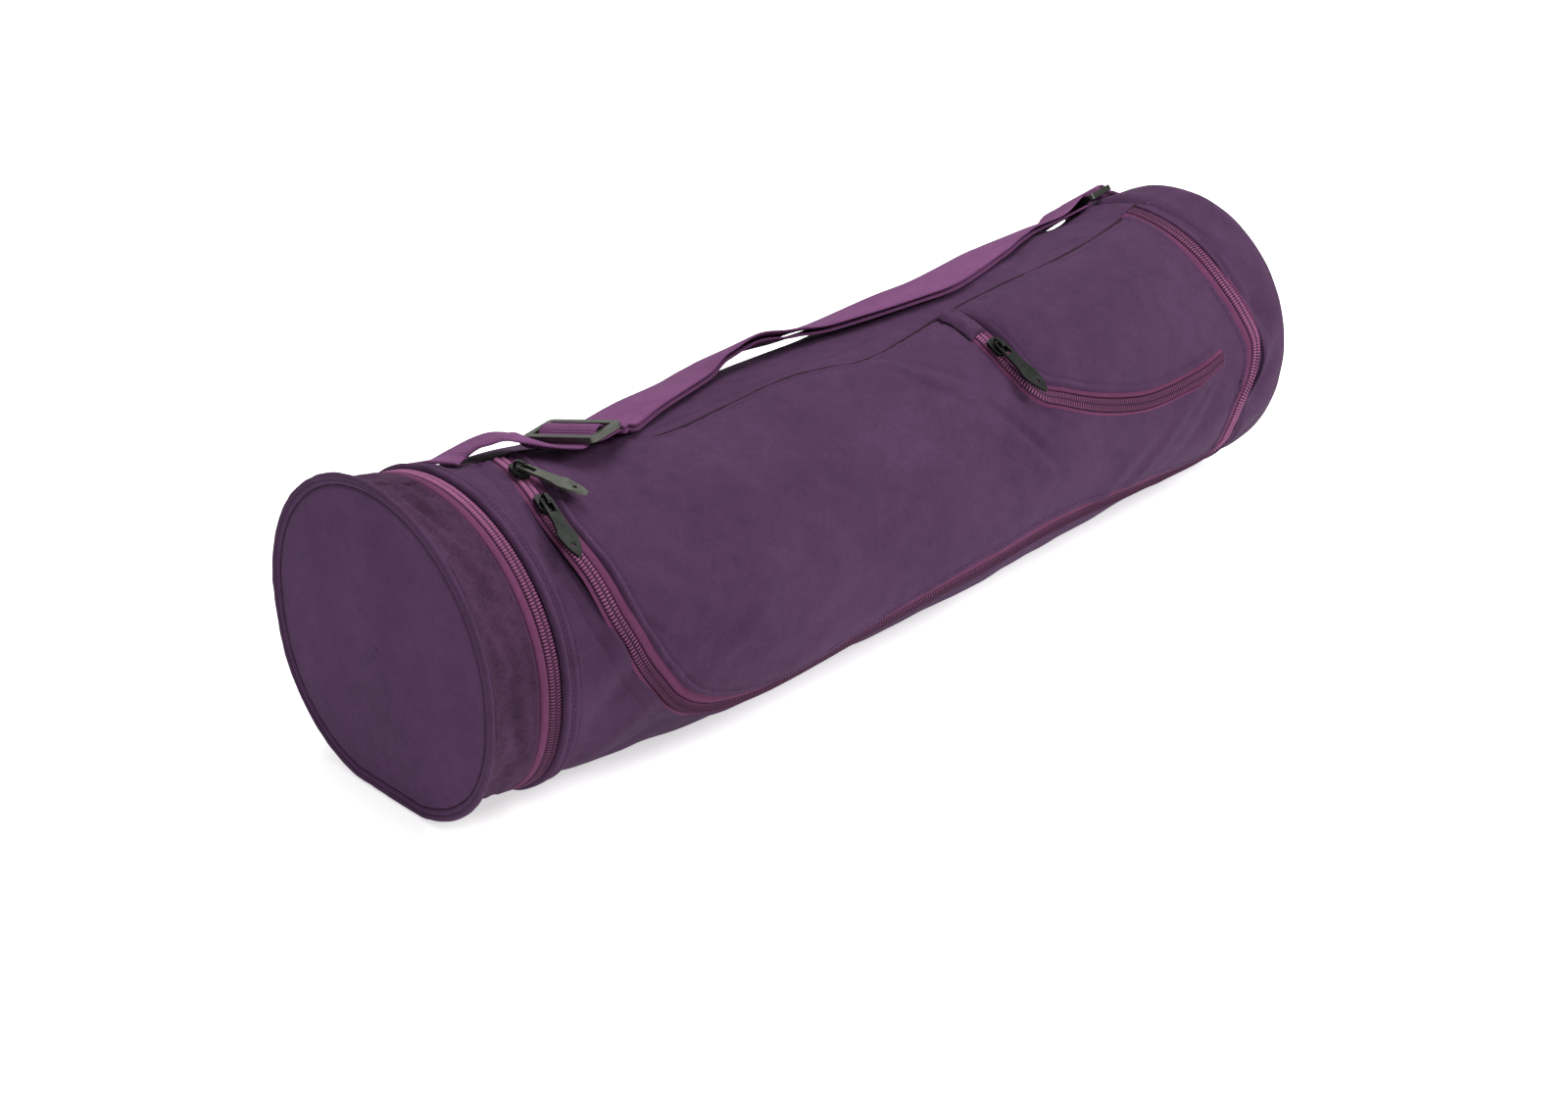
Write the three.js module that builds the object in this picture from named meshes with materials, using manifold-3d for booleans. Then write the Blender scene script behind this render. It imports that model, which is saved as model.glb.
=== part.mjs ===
// A zipped tube bag for a rolled mat, lying on its side.
// Millimetres, +Z up. X runs along the bag, from the lid at -X to the closed far end at +X.
// The front, with both pockets, faces -Y. The origin is on the ground under the middle of the bag.
// A turn is an angle round the bag in degrees, from the top over the front: 90 is the front, 180 the underside.
import * as THREE from 'three';
import { mergeVertices } from 'three/addons/utils/BufferGeometryUtils.js';
import Module from 'manifold-3d';

const wasm = await Module();
wasm.setup();

// Main sizes
const bag_length = 690;
const bag_width = 190;
const cloth = 2;
const layer_gap = 1.6;
const small_gap = 0.3;
const settled = 2.5;
const far_end_gap = 1.35;

// Lid and its zip
const lid_depth = 46;
const lid_waist = 2.5;
const disc_set_back = 1;
const piping_width = 5.4;
const tape_width = 6;
const tape_thickness = 1;
const teeth_width = 7.6;
const teeth_height = 2.6;
const lid_zip_sunk = 1.2;
const flap_width = 10;
const flap_height = 3.3;

// Pockets
const zip_lift = 1.5;
const pocket_slack = 1;
const panel_gap = 3.7;
const small_pocket_puff = 7;
const small_teeth_height = 2;
const small_tape_width = 3;
const small_zip_lift = 0.7;
const small_panel_gap = 1;
const small_panel_lift = 0.9;
const garage_width = 15;
const garage_thickness = 1.2;
const garage_crown = 0.8;

// Sliders and pull tabs
const slider_length = 13;
const slider_width = 9.5;
const slider_height = 3;
const slider_corner = 3;
const bail_width = 2.4;
const bail_length = 7.5;
const bail_height = 4.6;
const bail_wall = 1.2;
const bail_foot = 0.5;
const tab_length = 42;
const tab_width = 12;
const tab_thickness = 1.6;
const tab_rim = 1.7;
const tab_window_length = 8.5;
const tab_window_width = 3.8;
const tab_hole = 3;

// Strap and its hardware
const webbing_width = 40;
const webbing_thickness = 1.8;
const strap_layer_gap = 1.4;
const glide_width = webbing_width + 10;
const glide_length = 28;
const glide_thickness = 3.2;
const glide_bar = 4.4;
const glide_end = 4.2;
const glide_corner = 3.5;
const ring_width = webbing_width + 11;
const ring_length = 28;
const ring_bar = 4;
const ring_corner = 3;

// Colours
const aubergine = 0x5a3f5e;
const plum = 0x74405f;
const bright_purple = 0x7f4c80;
const gunmetal = 0x4b4f48;
const black_nickel = 0x2e3030;

// Mesh fineness
const round_steps = 40;
const long_steps = 16;

// Cross-sections of the bag. at is a share of bag_length from the middle. top, wide, rest and lean are
// shares of bag_width: the height, the width, how far the underside stands off the ground and how far the
// section slumps to the front. square is the exponent of the lower half: 2 is round, more is squashed.
const sections = [
  { at: -0.5, top: 1.008, wide: 1.01, rest: 0.016, square: 2.35, lean: 0 },
  { at: -0.47, top: 0.99, wide: 1, rest: 0.016, square: 2.3, lean: 0 },
  { at: -0.44, top: 0.95, wide: 1, rest: 0.018, square: 2.3, lean: 0 },
  { at: -0.41, top: 0.932, wide: 1.01, rest: 0.018, square: 2.35, lean: 0 },
  { at: -0.38, top: 0.91, wide: 1.03, rest: 0, square: 2.3, lean: 0.004 },
  { at: -0.34, top: 0.895, wide: 1.05, rest: 0, square: 2.25, lean: 0.01 },
  { at: -0.28, top: 0.866, wide: 1.09, rest: 0, square: 2.2, lean: 0.02 },
  { at: -0.21, top: 0.864, wide: 1.095, rest: 0, square: 2.2, lean: 0.03 },
  { at: -0.09, top: 0.884, wide: 1.08, rest: 0, square: 2.2, lean: 0.03 },
  { at: 0.03, top: 0.886, wide: 1.08, rest: 0, square: 2.2, lean: 0.03 },
  { at: 0.15, top: 0.925, wide: 1.05, rest: 0, square: 2.15, lean: 0.02 },
  { at: 0.26, top: 0.953, wide: 1.025, rest: 0, square: 2.05, lean: 0.012 },
  { at: 0.33, top: 0.958, wide: 1, rest: 0.002, square: 2.05, lean: 0.004 },
  { at: 0.38, top: 0.958, wide: 0.985, rest: 0.012, square: 2.05, lean: 0 },
  { at: 0.42, top: 0.975, wide: 0.98, rest: 0.014, square: 2.05, lean: 0 },
  { at: 0.455, top: 1.005, wide: 0.985, rest: 0.012, square: 2.05, lean: 0 },
  { at: 0.48, top: 1.01, wide: 0.985, rest: 0.01, square: 2.05, lean: 0 },
  { at: 0.5, top: 0.985, wide: 0.955, rest: 0.02, square: 2.05, lean: 0 },
];

// The rolled flap's upper outline: across is a share of flap_width, up a share of flap_height.
const flap_outline = [
  { across: 1, up: 0.06 },
  { across: 0.7, up: 0.86 },
  { across: 0.3, up: 1 },
  { across: 0, up: 0.14 },
];

// Folds and dents of the front pocket panel. at and long are shares of bag_length, turn is in degrees, deep
// is a share of bag_width, wide is the half width in degrees, slant is how many degrees the fold drifts
// round the bag along its length.
const pocket_folds = [
  { at: -0.28, turn: 75, long: 0.10, wide: 14, slant: 30, deep: 0.010 },
  { at: -0.12, turn: 60, long: 0.16, wide: 12, slant: -12, deep: 0.012 },
  { at: -0.05, turn: 118, long: 0.22, wide: 13, slant: 8, deep: 0.020 },
  { at: 0.10, turn: 92, long: 0.14, wide: 8, slant: 16, deep: -0.010 },
  { at: 0.22, turn: 124, long: 0.16, wide: 11, slant: -14, deep: 0.018 },
  { at: 0.33, turn: 96, long: 0.06, wide: 12, slant: -20, deep: 0.012 },
];

// Edges of the pockets, as places on the bag: at is a share of bag_length, turn is in degrees.
const top_seam = [
  { at: -0.394, turn: -11 },
  { at: -0.359, turn: -11 },
  { at: -0.309, turn: -10 },
  { at: -0.259, turn: -3 },
  { at: -0.241, turn: 4 },
  { at: -0.209, turn: 7 },
  { at: -0.147, turn: 6 },
  { at: -0.07, turn: 5 },
  { at: -0.031, turn: 8 },
  { at: 0.0, turn: 12 },
  { at: 0.063, turn: 10 },
  { at: 0.139, turn: 8 },
  { at: 0.279, turn: 8 },
  { at: 0.348, turn: 4 },
  { at: 0.435, turn: -4 },
];
const left_edge = [
  { turn: -6, at: -0.362 },
  { turn: 11, at: -0.371 },
  { turn: 24, at: -0.378 },
  { turn: 35, at: -0.383 },
  { turn: 45, at: -0.382 },
  { turn: 56, at: -0.377 },
  { turn: 71, at: -0.371 },
  { turn: 80, at: -0.363 },
  { turn: 89, at: -0.353 },
  { turn: 98, at: -0.338 },
  { turn: 106, at: -0.321 },
];
const bottom_edge = [
  { at: -0.321, turn: 106 },
  { at: -0.29, turn: 113.5 },
  { at: -0.25, turn: 118.5 },
  { at: -0.21, turn: 120 },
  { at: -0.15, turn: 118 },
  { at: -0.05, turn: 113 },
  { at: 0.05, turn: 109.5 },
  { at: 0.146, turn: 111 },
  { at: 0.265, turn: 118.5 },
  { at: 0.34, turn: 125 },
  { at: 0.385, turn: 129 },
  { at: 0.415, turn: 128 },
  { at: 0.425, turn: 121 },
];
const right_edge = [
  { turn: -2, at: 0.416 },
  { turn: 17, at: 0.417 },
  { turn: 34, at: 0.42 },
  { turn: 50, at: 0.425 },
  { turn: 64, at: 0.434 },
  { turn: 78, at: 0.443 },
  { turn: 90, at: 0.438 },
  { turn: 101, at: 0.426 },
  { turn: 112, at: 0.423 },
  { turn: 121, at: 0.425 },
];
const small_edge = [
  { at: 0.1152, turn: 16 },
  { at: 0.1155, turn: 26 },
  { at: 0.116, turn: 36 },
  { at: 0.118, turn: 48 },
  { at: 0.131, turn: 58 },
  { at: 0.158, turn: 64 },
  { at: 0.191, turn: 70 },
  { at: 0.23, turn: 75 },
  { at: 0.265, turn: 78 },
  { at: 0.305, turn: 79 },
  { at: 0.345, turn: 78.5 },
  { at: 0.387, turn: 76 },
];
const garage_line = [
  { at: 0.115, turn: 10 },
  { at: 0.115, turn: 15 },
  { at: 0.1152, turn: 20 },
];

// The small pocket's panel, in degrees round the bag: its hem lies below the top seam, and its corner
// beside the zip's bend starts at a turn and leans by a length for each degree.
const small_hem_turn = 3;
const small_corner_turn = 40;
const small_corner_lean = 0.35;

// Where the sliders sit, in degrees round the bag, and how far their tabs swing aside and dip.
const upper_slider_turn = 10;
const lower_slider_turn = 29;
const small_slider_turn = 37;
const lid_slider_turn = -100;
const upper_tab_swing = 36;
const lower_tab_swing = 2;
const small_tab_swing = 4;
const tab_dip = 3;

// The strap's run on the way out, from the end sewn beside the lid to the ring. at is a share of
// bag_length, side of bag_width (plus is to the back) and lift of webbing_width: the height over the bag.
// turn swings the webbing's width about Z and tilt rolls it, both in degrees.
const anchor_run = [
  { at: -0.405, side: 0.16, lift: 0.055, turn: 20, tilt: -18 },
  { at: -0.394, side: 0.185, lift: 0.06, turn: 10, tilt: -22 },
  { at: -0.382, side: 0.2, lift: 0.08, turn: 0, tilt: -25 },
  { at: -0.371, side: 0.185, lift: 0.15, turn: -8, tilt: -22 },
  { at: -0.357, side: 0.145, lift: 0.23, turn: -16, tilt: -14 },
  { at: -0.34, side: 0.095, lift: 0.21, turn: -22, tilt: -10 },
];
const upper_run = [
  { at: -0.25, side: 0.06, lift: 0.15, turn: 19, tilt: -12 },
  { at: -0.196, side: 0.129, lift: 0.17, turn: 15, tilt: -15 },
  { at: -0.126, side: 0.194, lift: 0.16, turn: 10, tilt: -22 },
  { at: -0.088, side: 0.225, lift: 0.26, turn: 6, tilt: -32 },
  { at: -0.047, side: 0.225, lift: 0.32, turn: 0, tilt: -38 },
  { at: -0.005, side: 0.215, lift: 0.24, turn: -4, tilt: -35 },
  { at: 0.035, side: 0.195, lift: 0.19, turn: -5, tilt: -24 },
  { at: 0.115, side: 0.12, lift: 0.17, turn: 0, tilt: -12 },
  { at: 0.155, side: 0.095, lift: 0.15, turn: 4, tilt: -13 },
  { at: 0.241, side: 0.155, lift: 0.14, turn: 10, tilt: -20 },
  { at: 0.286, side: 0.212, lift: 0.15, turn: 12, tilt: -27 },
  { at: 0.326, side: 0.262, lift: 0.16, turn: 12, tilt: -33 },
  { at: 0.392, side: 0.318, lift: 0.19, turn: 12, tilt: -36 },
];
const ring_tab_run = [
  { at: 0.47, side: 0.365, lift: 0.13, turn: 12, tilt: -38 },
  { at: 0.48, side: 0.37, lift: 0.09, turn: 12, tilt: -40 },
  { at: 0.488, side: 0.37, lift: 0.09, turn: 12, tilt: -40 },
];
const glide_place = { at: -0.298, side: -0.012, lift: 0.26 };
const glide_turn = 15;
const glide_tilt = -12;
const ring_place = { at: 0.44, side: 0.345, lift: 0.21 };
const ring_turn = 12;
const ring_tilt = -36;

const middle = bag_width / 2;
const half_teeth = teeth_width / 2;
const rad = THREE.MathUtils.degToRad;
const deg = THREE.MathUtils.radToDeg;

// Smooth curve through a table's rows: the value of column name where column key is `where`.
function along(table, key, name, where) {
  const last = table.length - 1;
  let row = 0;
  while (row < last - 1 && where > table[row + 1][key]) {
    row += 1;
  }
  const from = table[row];
  const to = table[row + 1];
  const span = to[key] - from[key];
  const share = Math.min(Math.max((where - from[key]) / span, 0), 1);
  const slope = (a, b) => (b[name] - a[name]) / (b[key] - a[key]);
  const here = slope(from, to);
  const before = row > 0 ? slope(table[row - 1], from) : here;
  const after = row < last - 1 ? slope(to, table[row + 2]) : here;
  const start = limited(before, here);
  const end = limited(here, after);
  const cube = share ** 3;
  const square = share ** 2;
  return from[name] * (2 * cube - 3 * square + 1) + to[name] * (3 * square - 2 * cube)
    + span * (start * (cube - 2 * square + share) + end * (cube - square));
}

// A slope between two slopes that lets the curve pass its rows without overshooting.
function limited(before, after) {
  if (before * after <= 0) {
    return 0;
  }
  return 2 * before * after / (before + after);
}

// The measures of the bag's section at x.
function section_at(x) {
  const at = THREE.MathUtils.clamp(x / bag_length, -0.5, 0.5);
  const size = (name) => along(sections, 'at', name, at) * bag_width;
  return {
    centre: size('top') / 2,
    half: size('wide') / 2,
    ground: size('rest'),
    lean: size('lean'),
    power: along(sections, 'at', 'square', at),
  };
}

// The bag's outline round the section at x, as a place to the side and a height, for a turn. The weight
// flattens its underside on the ground.
function outline(x, turn) {
  const { centre, half, ground, lean, power } = section_at(x);
  const side = Math.sin(rad(turn));
  const up = Math.cos(rad(turn));
  if (up >= 0) {
    const reach = 1 / Math.hypot(side / half, up / centre);
    return { y: -lean - reach * side, z: centre + reach * up };
  }
  const drop = centre - ground + settled;
  const full = (Math.abs(side / half) ** power + Math.abs(up / drop) ** power) ** (-1 / power);
  const reach = Math.min(full, (centre - ground) / -up);
  return { y: -lean - reach * side, z: centre + reach * up };
}

// The outward direction of the bag's surface.
function outward(x, turn) {
  const step = 0.5;
  const at = (dx, dturn) => {
    const spot = outline(x + dx, turn + dturn);
    return new THREE.Vector3(x + dx, spot.y, spot.z);
  };
  const lengthwise = at(step, 0).sub(at(-step, 0));
  const roundwise = at(0, step).sub(at(0, -step));
  return roundwise.cross(lengthwise).normalize();
}

// A point on the bag, lifted off its surface.
function skin(x, turn, lift) {
  const spot = outline(x, turn);
  const point = new THREE.Vector3(x, spot.y, spot.z);
  point.addScaledVector(outward(x, turn), lift);
  return point;
}

// Height of the bag's top over a point of the ground.
function roof(x, y) {
  const { centre, half, lean } = section_at(x);
  return centre + centre * Math.sqrt(Math.max(1 - ((y + lean) / half) ** 2, 0));
}

// Height of what the strap lies on: the bag's top, with the pocket panel where it reaches under the strap.
function bed(x, y) {
  const ramp_start = -8;
  const ramp_end = -2;
  const ramp_length = 0.02;
  const { centre, lean } = section_at(x);
  const turn = deg(Math.atan2(-y - lean, roof(x, y) - centre));
  const past_seam = turn - along(top_seam, 'at', 'turn', x / bag_length);
  const on_panel = THREE.MathUtils.smoothstep(past_seam, ramp_start, ramp_end);
  const in_panel = THREE.MathUtils.smoothstep(x / bag_length, left_edge[0].at - ramp_length, left_edge[0].at);
  return roof(x, y) + on_panel * in_panel * (layer_gap + cloth + pocket_slack);
}

// Height of the folds of the front pocket panel over its own flat lie. They fade out towards its edges.
function pocket_swell(x, turn) {
  const fade_length = 0.05;
  const fade_turn = 14;
  const at = x / bag_length;
  let height = 0;
  for (const fold of pocket_folds) {
    const run = (at - fold.at) / fold.long;
    const off = (turn - fold.turn - fold.slant * run) / fold.wide;
    height += fold.deep * bag_width * Math.exp(-(run ** 2) - off ** 2);
  }
  const left = (at - along(left_edge, 'turn', 'at', turn)) / fade_length;
  const right = (along(right_edge, 'turn', 'at', turn) - at) / fade_length;
  const top = (turn - along(top_seam, 'at', 'turn', at)) / fade_turn;
  const low = (along(bottom_edge, 'at', 'turn', at) - turn) / fade_turn;
  const fade = [left, right, top, low].reduce((all, edge) => all * THREE.MathUtils.smoothstep(edge, 0, 1), 1);
  return (Math.max(height, 0) + pocket_slack) * fade;
}

// Outer face of the front pocket panel.
const panel_top = (x, turn) => layer_gap + cloth + pocket_swell(x, turn);

// A closed body from triangles, with its faces turned outward.
function body_of(points, triangles) {
  let volume = 0;
  for (const [a, b, c] of triangles) {
    volume += points[a].dot(new THREE.Vector3().crossVectors(points[b], points[c]));
  }
  const order = volume < 0 ? [0, 2, 1] : [0, 1, 2];
  const geometry = new THREE.BufferGeometry();
  geometry.setAttribute('position', new THREE.Float32BufferAttribute(points.flatMap((p) => [p.x, p.y, p.z]), 3));
  geometry.setIndex(triangles.flatMap((corner) => order.map((k) => corner[k])));
  geometry.computeVertexNormals();
  return geometry;
}

// A sheet with thickness: point(u, v, side) gives its outer face at side 0 and inner face at side 1.
// A sheet that wraps closes on itself along u.
function sheet(steps_u, steps_v, wraps, point) {
  const points = [];
  const triangles = [];
  const columns = wraps ? steps_u : steps_u + 1;
  for (const side of [0, 1]) {
    for (let j = 0; j <= steps_v; j += 1) {
      for (let i = 0; i < columns; i += 1) {
        points.push(point(i / steps_u, j / steps_v, side));
      }
    }
  }
  const id = (i, j, side) => side * columns * (steps_v + 1) + j * columns + (i % columns);
  const quad = (a, b, c, d) => triangles.push([a, b, c], [a, c, d]);
  for (let i = 0; i < steps_u; i += 1) {
    for (let j = 0; j < steps_v; j += 1) {
      quad(id(i, j, 0), id(i + 1, j, 0), id(i + 1, j + 1, 0), id(i, j + 1, 0));
      quad(id(i, j, 1), id(i, j + 1, 1), id(i + 1, j + 1, 1), id(i + 1, j, 1));
    }
    quad(id(i, 0, 0), id(i, 0, 1), id(i + 1, 0, 1), id(i + 1, 0, 0));
    quad(id(i, steps_v, 0), id(i + 1, steps_v, 0), id(i + 1, steps_v, 1), id(i, steps_v, 1));
  }
  for (let j = 0; j < steps_v && !wraps; j += 1) {
    quad(id(0, j, 0), id(0, j + 1, 0), id(0, j + 1, 1), id(0, j, 1));
    quad(id(steps_u, j, 0), id(steps_u, j, 1), id(steps_u, j + 1, 1), id(steps_u, j + 1, 0));
  }
  return body_of(points, triangles);
}

// A bar through a row of cross-sections with the same number of corners, closed into a ring or capped.
function loft(rings, closed) {
  const points = rings.flat();
  const corners = rings[0].length;
  const triangles = [];
  const spans = closed ? rings.length : rings.length - 1;
  for (let i = 0; i < spans; i += 1) {
    for (let k = 0; k < corners; k += 1) {
      const here = i * corners;
      const next = ((i + 1) % rings.length) * corners;
      const other = (k + 1) % corners;
      triangles.push([here + k, next + k, next + other], [here + k, next + other, here + other]);
    }
  }
  if (!closed) {
    const end = (rings.length - 1) * corners;
    for (let k = 1; k < corners - 1; k += 1) {
      triangles.push([0, k, k + 1], [end, end + k + 1, end + k]);
    }
  }
  return body_of(points, triangles);
}

// A ring round the bag at x. Its profile lists corners as a step along the bag and a lift.
function hoop(x, profile) {
  const rings = [];
  for (let i = 0; i < round_steps; i += 1) {
    const turn = (360 * i) / round_steps;
    rings.push(profile.map(([step, lift]) => skin(x + step, turn, lift)));
  }
  return loft(rings, true);
}

// A ribbon that follows places on the bag. profile lists corners as a step across and a lift.
function trim(places, profile, lift_at) {
  const centre = places.map(({ x, turn }) => skin(x, turn, lift_at(x, turn)));
  const rings = centre.map((point, i) => {
    const ahead = centre[Math.min(i + 1, centre.length - 1)];
    const behind = centre[Math.max(i - 1, 0)];
    const up = outward(places[i].x, places[i].turn);
    const across = new THREE.Vector3().crossVectors(up, ahead.clone().sub(behind)).normalize();
    return profile.map(([step, lift]) => point.clone().addScaledVector(across, step).addScaledVector(up, lift));
  });
  return loft(rings, false);
}

// Profile of a row of zip teeth, with a low ridge along the middle.
function teeth_profile(foot, height) {
  const shoulder = foot + 0.55 * height;
  return [[-half_teeth, foot], [half_teeth, foot], [half_teeth, shoulder], [0, foot + height], [-half_teeth, shoulder]];
}

// Profile of a strip of zip tape from one edge to the other.
function tape_profile(from, to, foot) {
  return [[from, foot], [to, foot], [to, foot + tape_thickness], [from, foot + tape_thickness]];
}

// The front zip's line: down the left edge, along the bottom and up the right edge.
function pocket_zip_line() {
  const rows = [
    ...left_edge.slice(0, -1),
    ...bottom_edge,
    ...right_edge.slice(0, -1).reverse(),
  ];
  return smooth_places(rows, 42);
}

// A smooth line through places on the bag, in evenly spaced steps.
function smooth_places(rows, steps) {
  const corners = rows.map((row) => new THREE.Vector3(row.at * bag_length, rad(row.turn) * middle, 0));
  const curve = new THREE.CatmullRomCurve3(corners, false, 'centripetal');
  return curve.getSpacedPoints(steps).map((p) => ({ x: p.x, turn: deg(p.y / middle) }));
}

// A patch of cloth over the bag. Each side edge depends on the turn and the top and low edges on x, so a
// place between them is found by going back and forth a few times.
function patch(steps_u, steps_v, edges, lift_at) {
  const passes = 6;
  return sheet(steps_u, steps_v, false, (u, v, side) => {
    let turn = THREE.MathUtils.lerp(edges.top(0), edges.low(0), v);
    let x = 0;
    for (let pass = 0; pass < passes; pass += 1) {
      x = THREE.MathUtils.lerp(edges.left(turn), edges.right(turn), u);
      turn = THREE.MathUtils.lerp(edges.top(x), edges.low(x), v);
    }
    return skin(x, turn, lift_at(x, turn) - side * cloth);
  });
}

// An upright edge moved sideways, square to the edge, so that the zip fits beside it.
function inset(table, turn, by) {
  const step = 1;
  const place_at = (where) => along(table, 'turn', 'at', where) * bag_length;
  const slope = (place_at(turn + step) - place_at(turn - step)) / (2 * rad(step) * middle);
  return place_at(turn) + by * Math.hypot(1, slope);
}

// A lengthwise edge moved up, square to the edge.
function raised(table, x, by) {
  const step = 3;
  const turn_at = (where) => along(table, 'at', 'turn', where / bag_length);
  const slope = rad(turn_at(x + step) - turn_at(x - step)) * middle / (2 * step);
  return turn_at(x) - deg(by * Math.hypot(1, slope) / middle);
}

// Bodies joined into one.
function joined(geometries) {
  const solids = geometries.map((geometry) => {
    geometry.deleteAttribute('normal');
    geometry.deleteAttribute('uv');
    const merged = mergeVertices(geometry, 1e-4);
    const vertProperties = new Float32Array(merged.attributes.position.array);
    const triVerts = new Uint32Array(merged.index.array);
    return new wasm.Manifold(new wasm.Mesh({ numProp: 3, vertProperties, triVerts }));
  });
  const { vertProperties, triVerts } = solids.reduce((all, next) => all.add(next)).getMesh();
  const result = new THREE.BufferGeometry();
  result.setAttribute('position', new THREE.BufferAttribute(new Float32Array(vertProperties), 3));
  result.setIndex(new THREE.BufferAttribute(new Uint32Array(triVerts), 1));
  result.computeVertexNormals();
  return result;
}

// A flat outline with rounded corners, centred on the origin.
function rounded(Kind, length, width, radius) {
  const path = new Kind();
  const x = length / 2;
  const y = width / 2;
  path.moveTo(-x + radius, -y);
  path.lineTo(x - radius, -y);
  path.absarc(x - radius, -y + radius, radius, -Math.PI / 2, 0, false);
  path.lineTo(x, y - radius);
  path.absarc(x - radius, y - radius, radius, 0, Math.PI / 2, false);
  path.lineTo(-x + radius, y);
  path.absarc(-x + radius, y - radius, radius, Math.PI / 2, Math.PI, false);
  path.lineTo(-x, -y + radius);
  path.absarc(-x + radius, -y + radius, radius, Math.PI, 1.5 * Math.PI, false);
  return path;
}

// Outline of a low arch with bevelled shoulders, standing on a foot.
function arch(Kind, half, height, foot) {
  const bevel = 0.4 * half;
  const corners = [[-half, foot], [half, foot], [half, height - bevel], [half - bevel, height],
    [bevel - half, height], [-half, height - bevel]];
  const path = new Kind();
  path.setFromPoints(corners.map(([x, y]) => new THREE.Vector2(x, y)));
  return path;
}

// A flat outline given a thickness.
function plate(shape, thickness) {
  const geometry = new THREE.ExtrudeGeometry(shape, { depth: thickness, bevelEnabled: false, curveSegments: 3 });
  return geometry.translate(0, 0, -thickness / 2);
}

// A hole outline moved to x.
function moved(path, x) {
  const hole = new THREE.Path();
  hole.setFromPoints(path.getPoints(3).map((p) => new THREE.Vector2(p.x + x, p.y)));
  return hole;
}

// Finish
const cloth_finish = (color) => new THREE.MeshStandardMaterial({ color, roughness: 0.95, metalness: 0 });
const metal_finish = (color) => new THREE.MeshStandardMaterial({ color, roughness: 0.3, metalness: 0.9 });
const fabric = cloth_finish(aubergine);
const zip_fabric = cloth_finish(plum);
const webbing = cloth_finish(bright_purple);
const buckle_metal = metal_finish(gunmetal);
const zip_metal = metal_finish(black_nickel);

const bag = new THREE.Group();

function add(name, geometry, material) {
  const mesh = new THREE.Mesh(geometry, material);
  mesh.name = name;
  bag.add(mesh);
  return mesh;
}

// Stations along the bag, from the lid
const lid_end = -bag_length / 2;
const far_edge = bag_length / 2;
const band_start = lid_end + piping_width + small_gap;
const lid_zip = lid_end + lid_depth;
const lid_seam = lid_zip - half_teeth - tape_width;
const flap_start = lid_zip + half_teeth + small_gap;
const tube_start = flap_start + flap_width + small_gap;

// A round panel across the bag, from one station to another.
function disc(from, to, lift) {
  const rings = [from, to].map((x) => {
    const ring = [];
    for (let i = 0; i < round_steps; i += 1) {
      ring.push(skin(x, (360 * i) / round_steps, lift).setX(x));
    }
    return ring;
  });
  return loft(rings, false);
}

function lid() {
  const half = piping_width / 2;
  const cord = [90, 162, 234, 306, 18].map((angle) => [half * Math.cos(rad(angle)), half * Math.sin(rad(angle))]);
  const disc_start = lid_end + disc_set_back;
  add('lid_disc', disc(disc_start, disc_start + cloth, -half - small_gap), fabric);
  add('lid_piping', hoop(lid_end + half, cord), fabric);
  const band = sheet(round_steps, 2, true, (u, v, side) => {
    const x = THREE.MathUtils.lerp(band_start, lid_seam - small_gap, v);
    return skin(x, 360 * u, -lid_waist * Math.sin(Math.PI * v) - side * cloth);
  });
  add('lid_band', band, fabric);
}

function lid_zip_parts() {
  add('lid_zip_tape', hoop(lid_seam, tape_profile(0, tape_width - small_gap, -tape_thickness)), zip_fabric);
  add('lid_zip_teeth', hoop(lid_zip, teeth_profile(-lid_zip_sunk, teeth_height)), zip_fabric);
}

// The lid zip's slider, parked at the back of the bag.
function lid_slider() {
  const up = outward(lid_zip, lid_slider_turn);
  const lengthwise = new THREE.Vector3(1, 0, 0);
  const across = lengthwise.addScaledVector(up, -up.x).normalize();
  const forward = new THREE.Vector3().crossVectors(across, up);
  const point = skin(lid_zip, lid_slider_turn, teeth_height - lid_zip_sunk + small_gap);
  place(add('lid_slider', slider_body(0), zip_metal), point, forward, across, up);
}

// The flap is the rolled edge of the tube beside the lid's zip.
function flap() {
  const roll = flap_outline.map(({ across, up }) => [across * flap_width, up * flap_height]);
  add('zip_flap', hoop(flap_start, [[0, -cloth], [flap_width, -cloth], ...roll]), fabric);
}

function tube() {
  const body = sheet(round_steps, long_steps, true, (u, v, side) => {
    const crowded = (1 - Math.cos(Math.PI * v)) / 2;
    const share = THREE.MathUtils.lerp(v, crowded, 0.6);
    const x = THREE.MathUtils.lerp(tube_start, far_edge - side * cloth * share, share);
    return skin(x, 360 * u, -side * cloth).setX(x);
  });
  add('main_tube', body, fabric);
  const end = disc(far_edge - 1.5 * cloth, far_edge - 0.5 * cloth, -cloth - far_end_gap);
  add('far_end', end, fabric);
}

// Front pocket
function front_pocket() {
  const panel_inset = half_teeth + tape_width + panel_gap;
  const edges = {
    left: (turn) => inset(left_edge, turn, panel_inset),
    right: (turn) => inset(right_edge, turn, -panel_inset),
    top: (x) => along(top_seam, 'at', 'turn', x / bag_length),
    low: (x) => raised(bottom_edge, x, panel_inset),
  };
  add('front_pocket', patch(26, 17, edges, panel_top), fabric);
  const line = pocket_zip_line();
  const flat = () => zip_lift;
  const tape = tape_profile(half_teeth + small_gap, half_teeth + tape_width, 0);
  add('pocket_zip_tape', trim(line, tape, flat), zip_fabric);
  add('pocket_zip_teeth', trim(line, teeth_profile(0, teeth_height), flat), zip_fabric);
}

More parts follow.
